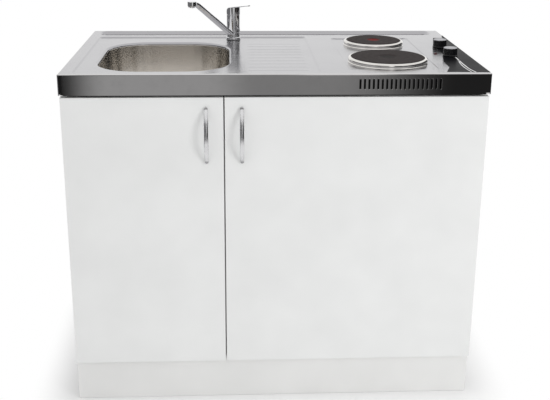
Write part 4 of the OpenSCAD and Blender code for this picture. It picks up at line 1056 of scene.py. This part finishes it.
def make_cards():
    """Studio cards that only reflections see: the toned wall in front and two dark sides."""
    material, tree, glow = emission("front_card", (0.5, 0.5, 0.5))
    coords = tree.nodes.new("ShaderNodeTexCoord")
    axes = tree.nodes.new("ShaderNodeSeparateXYZ")
    tree.links.new(coords.outputs["Object"], axes.inputs[0])

    def ramp(stops):
        across = tree.nodes.new("ShaderNodeMapRange")
        across.inputs["From Min"].default_value = -CARD_SPAN
        across.inputs["From Max"].default_value = CARD_SPAN
        tree.links.new(axes.outputs[0], across.inputs["Value"])
        node = tree.nodes.new("ShaderNodeValToRGB")
        node.color_ramp.interpolation = "EASE"
        while len(node.color_ramp.elements) < len(stops):
            node.color_ramp.elements.new(0.5)
        for element, (x, grey) in zip(node.color_ramp.elements, stops):
            element.position = (x + CARD_SPAN) / (2 * CARD_SPAN)
            element.color = (grey, grey, grey, 1.0)
        tree.links.new(across.outputs[0], node.inputs[0])
        return node.outputs["Color"]

    level = tree.nodes.new("ShaderNodeMapRange")
    level.interpolation_type = "SMOOTHSTEP"
    level.inputs["From Min"].default_value, level.inputs["From Max"].default_value = CARD_BLEND
    tree.links.new(axes.outputs[2], level.inputs["Value"])
    blend = tree.nodes.new("ShaderNodeMix")
    blend.data_type = "RGBA"
    tree.links.new(level.outputs[0], blend.inputs[0])
    tree.links.new(ramp(FRONT_LOW), blend.inputs[6])
    tree.links.new(ramp(FRONT_HIGH), blend.inputs[7])
    tree.links.new(blend.outputs[2], glow.inputs["Color"])

    def upright(name, a, b, top, tone):
        return flat_panel(name, [(*a, 0.0), (*b, 0.0), (*b, top), (*a, top)], tone)

    cards = [upright("card_front", (-CARD_X, CARD_Y), (CARD_X, CARD_Y), CARD_TOP, material)]
    for name, x, grey in SIDE_TONES:
        tone, _, _ = emission("card_" + name, (grey, grey, grey * 1.05))
        cards.append(upright("card_side_" + name, (x, CARD_Y), (x, SIDE_END), SIDE_TOP, tone))
    for card in cards:
        card.visible_camera = False
        card.visible_diffuse = False
        card.visible_shadow = False
        card.visible_transmission = False


def soft_light(name, place_at, aim, width, height, power):
    light = bpy.data.lights.new(name, "AREA")
    light.shape = "RECTANGLE"
    light.size, light.size_y, light.energy = width, height, power
    lamp = bpy.data.objects.new(name, light)
    lamp.location = place_at
    lamp.rotation_euler = (Vector(aim) - Vector(place_at)).to_track_quat("-Z", "Y").to_euler()
    lamp.visible_glossy = False
    bpy.context.scene.collection.objects.link(lamp)


def make_lights():
    soft_light("key_right", (2.3, -2.6, 1.5), (0.0, -0.2, 0.55), 1.1, 1.1, 34.0)
    soft_light("overhead", (0.1, -0.4, 3.4), (0.0, 0.0, 0.4), 2.6, 1.8, 26.0)
    soft_light("fill_left", (-2.6, -2.4, 1.8), (0.0, -0.2, 0.5), 2.0, 2.0, 9.0)


def make_camera():
    """A view from the front, a little above the top and turned slightly to the right."""
    yaw, pitch, roll = 0.0496, 0.3015, 0.0074
    focal_px, frame_px = 902.7, 550.0
    forward = Vector((math.sin(yaw) * math.cos(pitch), math.cos(yaw) * math.cos(pitch),
                      -math.sin(pitch)))
    right = Vector((math.cos(yaw), -math.sin(yaw), 0.0))
    up = right.cross(forward)
    turned_right = math.cos(roll) * right + math.sin(roll) * up
    turned_up = -math.sin(roll) * right + math.cos(roll) * up
    rotation = Matrix((turned_right, turned_up, -forward)).transposed()
    data = bpy.data.cameras.new("camera")
    data.sensor_width = 36.0
    data.lens = 36.0 * focal_px / frame_px
    data.shift_y = -0.08
    camera = bpy.data.objects.new("camera", data)
    camera.matrix_world = Matrix.Translation(place(-103.7, -2026.3, 1283.9)) @ rotation.to_4x4()
    bpy.context.scene.collection.objects.link(camera)
    bpy.context.scene.camera = camera
    bpy.context.scene.view_settings.view_transform = "Standard"


bowl_angles = make_sheet()
make_bowl(bowl_angles)
make_base_ring()
make_tap_body()
make_spout()
make_lever()
for plate in PLATES:
    make_plate(*plate)
make_spill_rings()
for knob in KNOBS:
    make_knob(*knob)
make_print_lines()
for handle in HANDLES:
    make_handle(*handle)
finish_cad_nodes()
make_world()
make_floor()
make_cards()
make_lights()
make_camera()
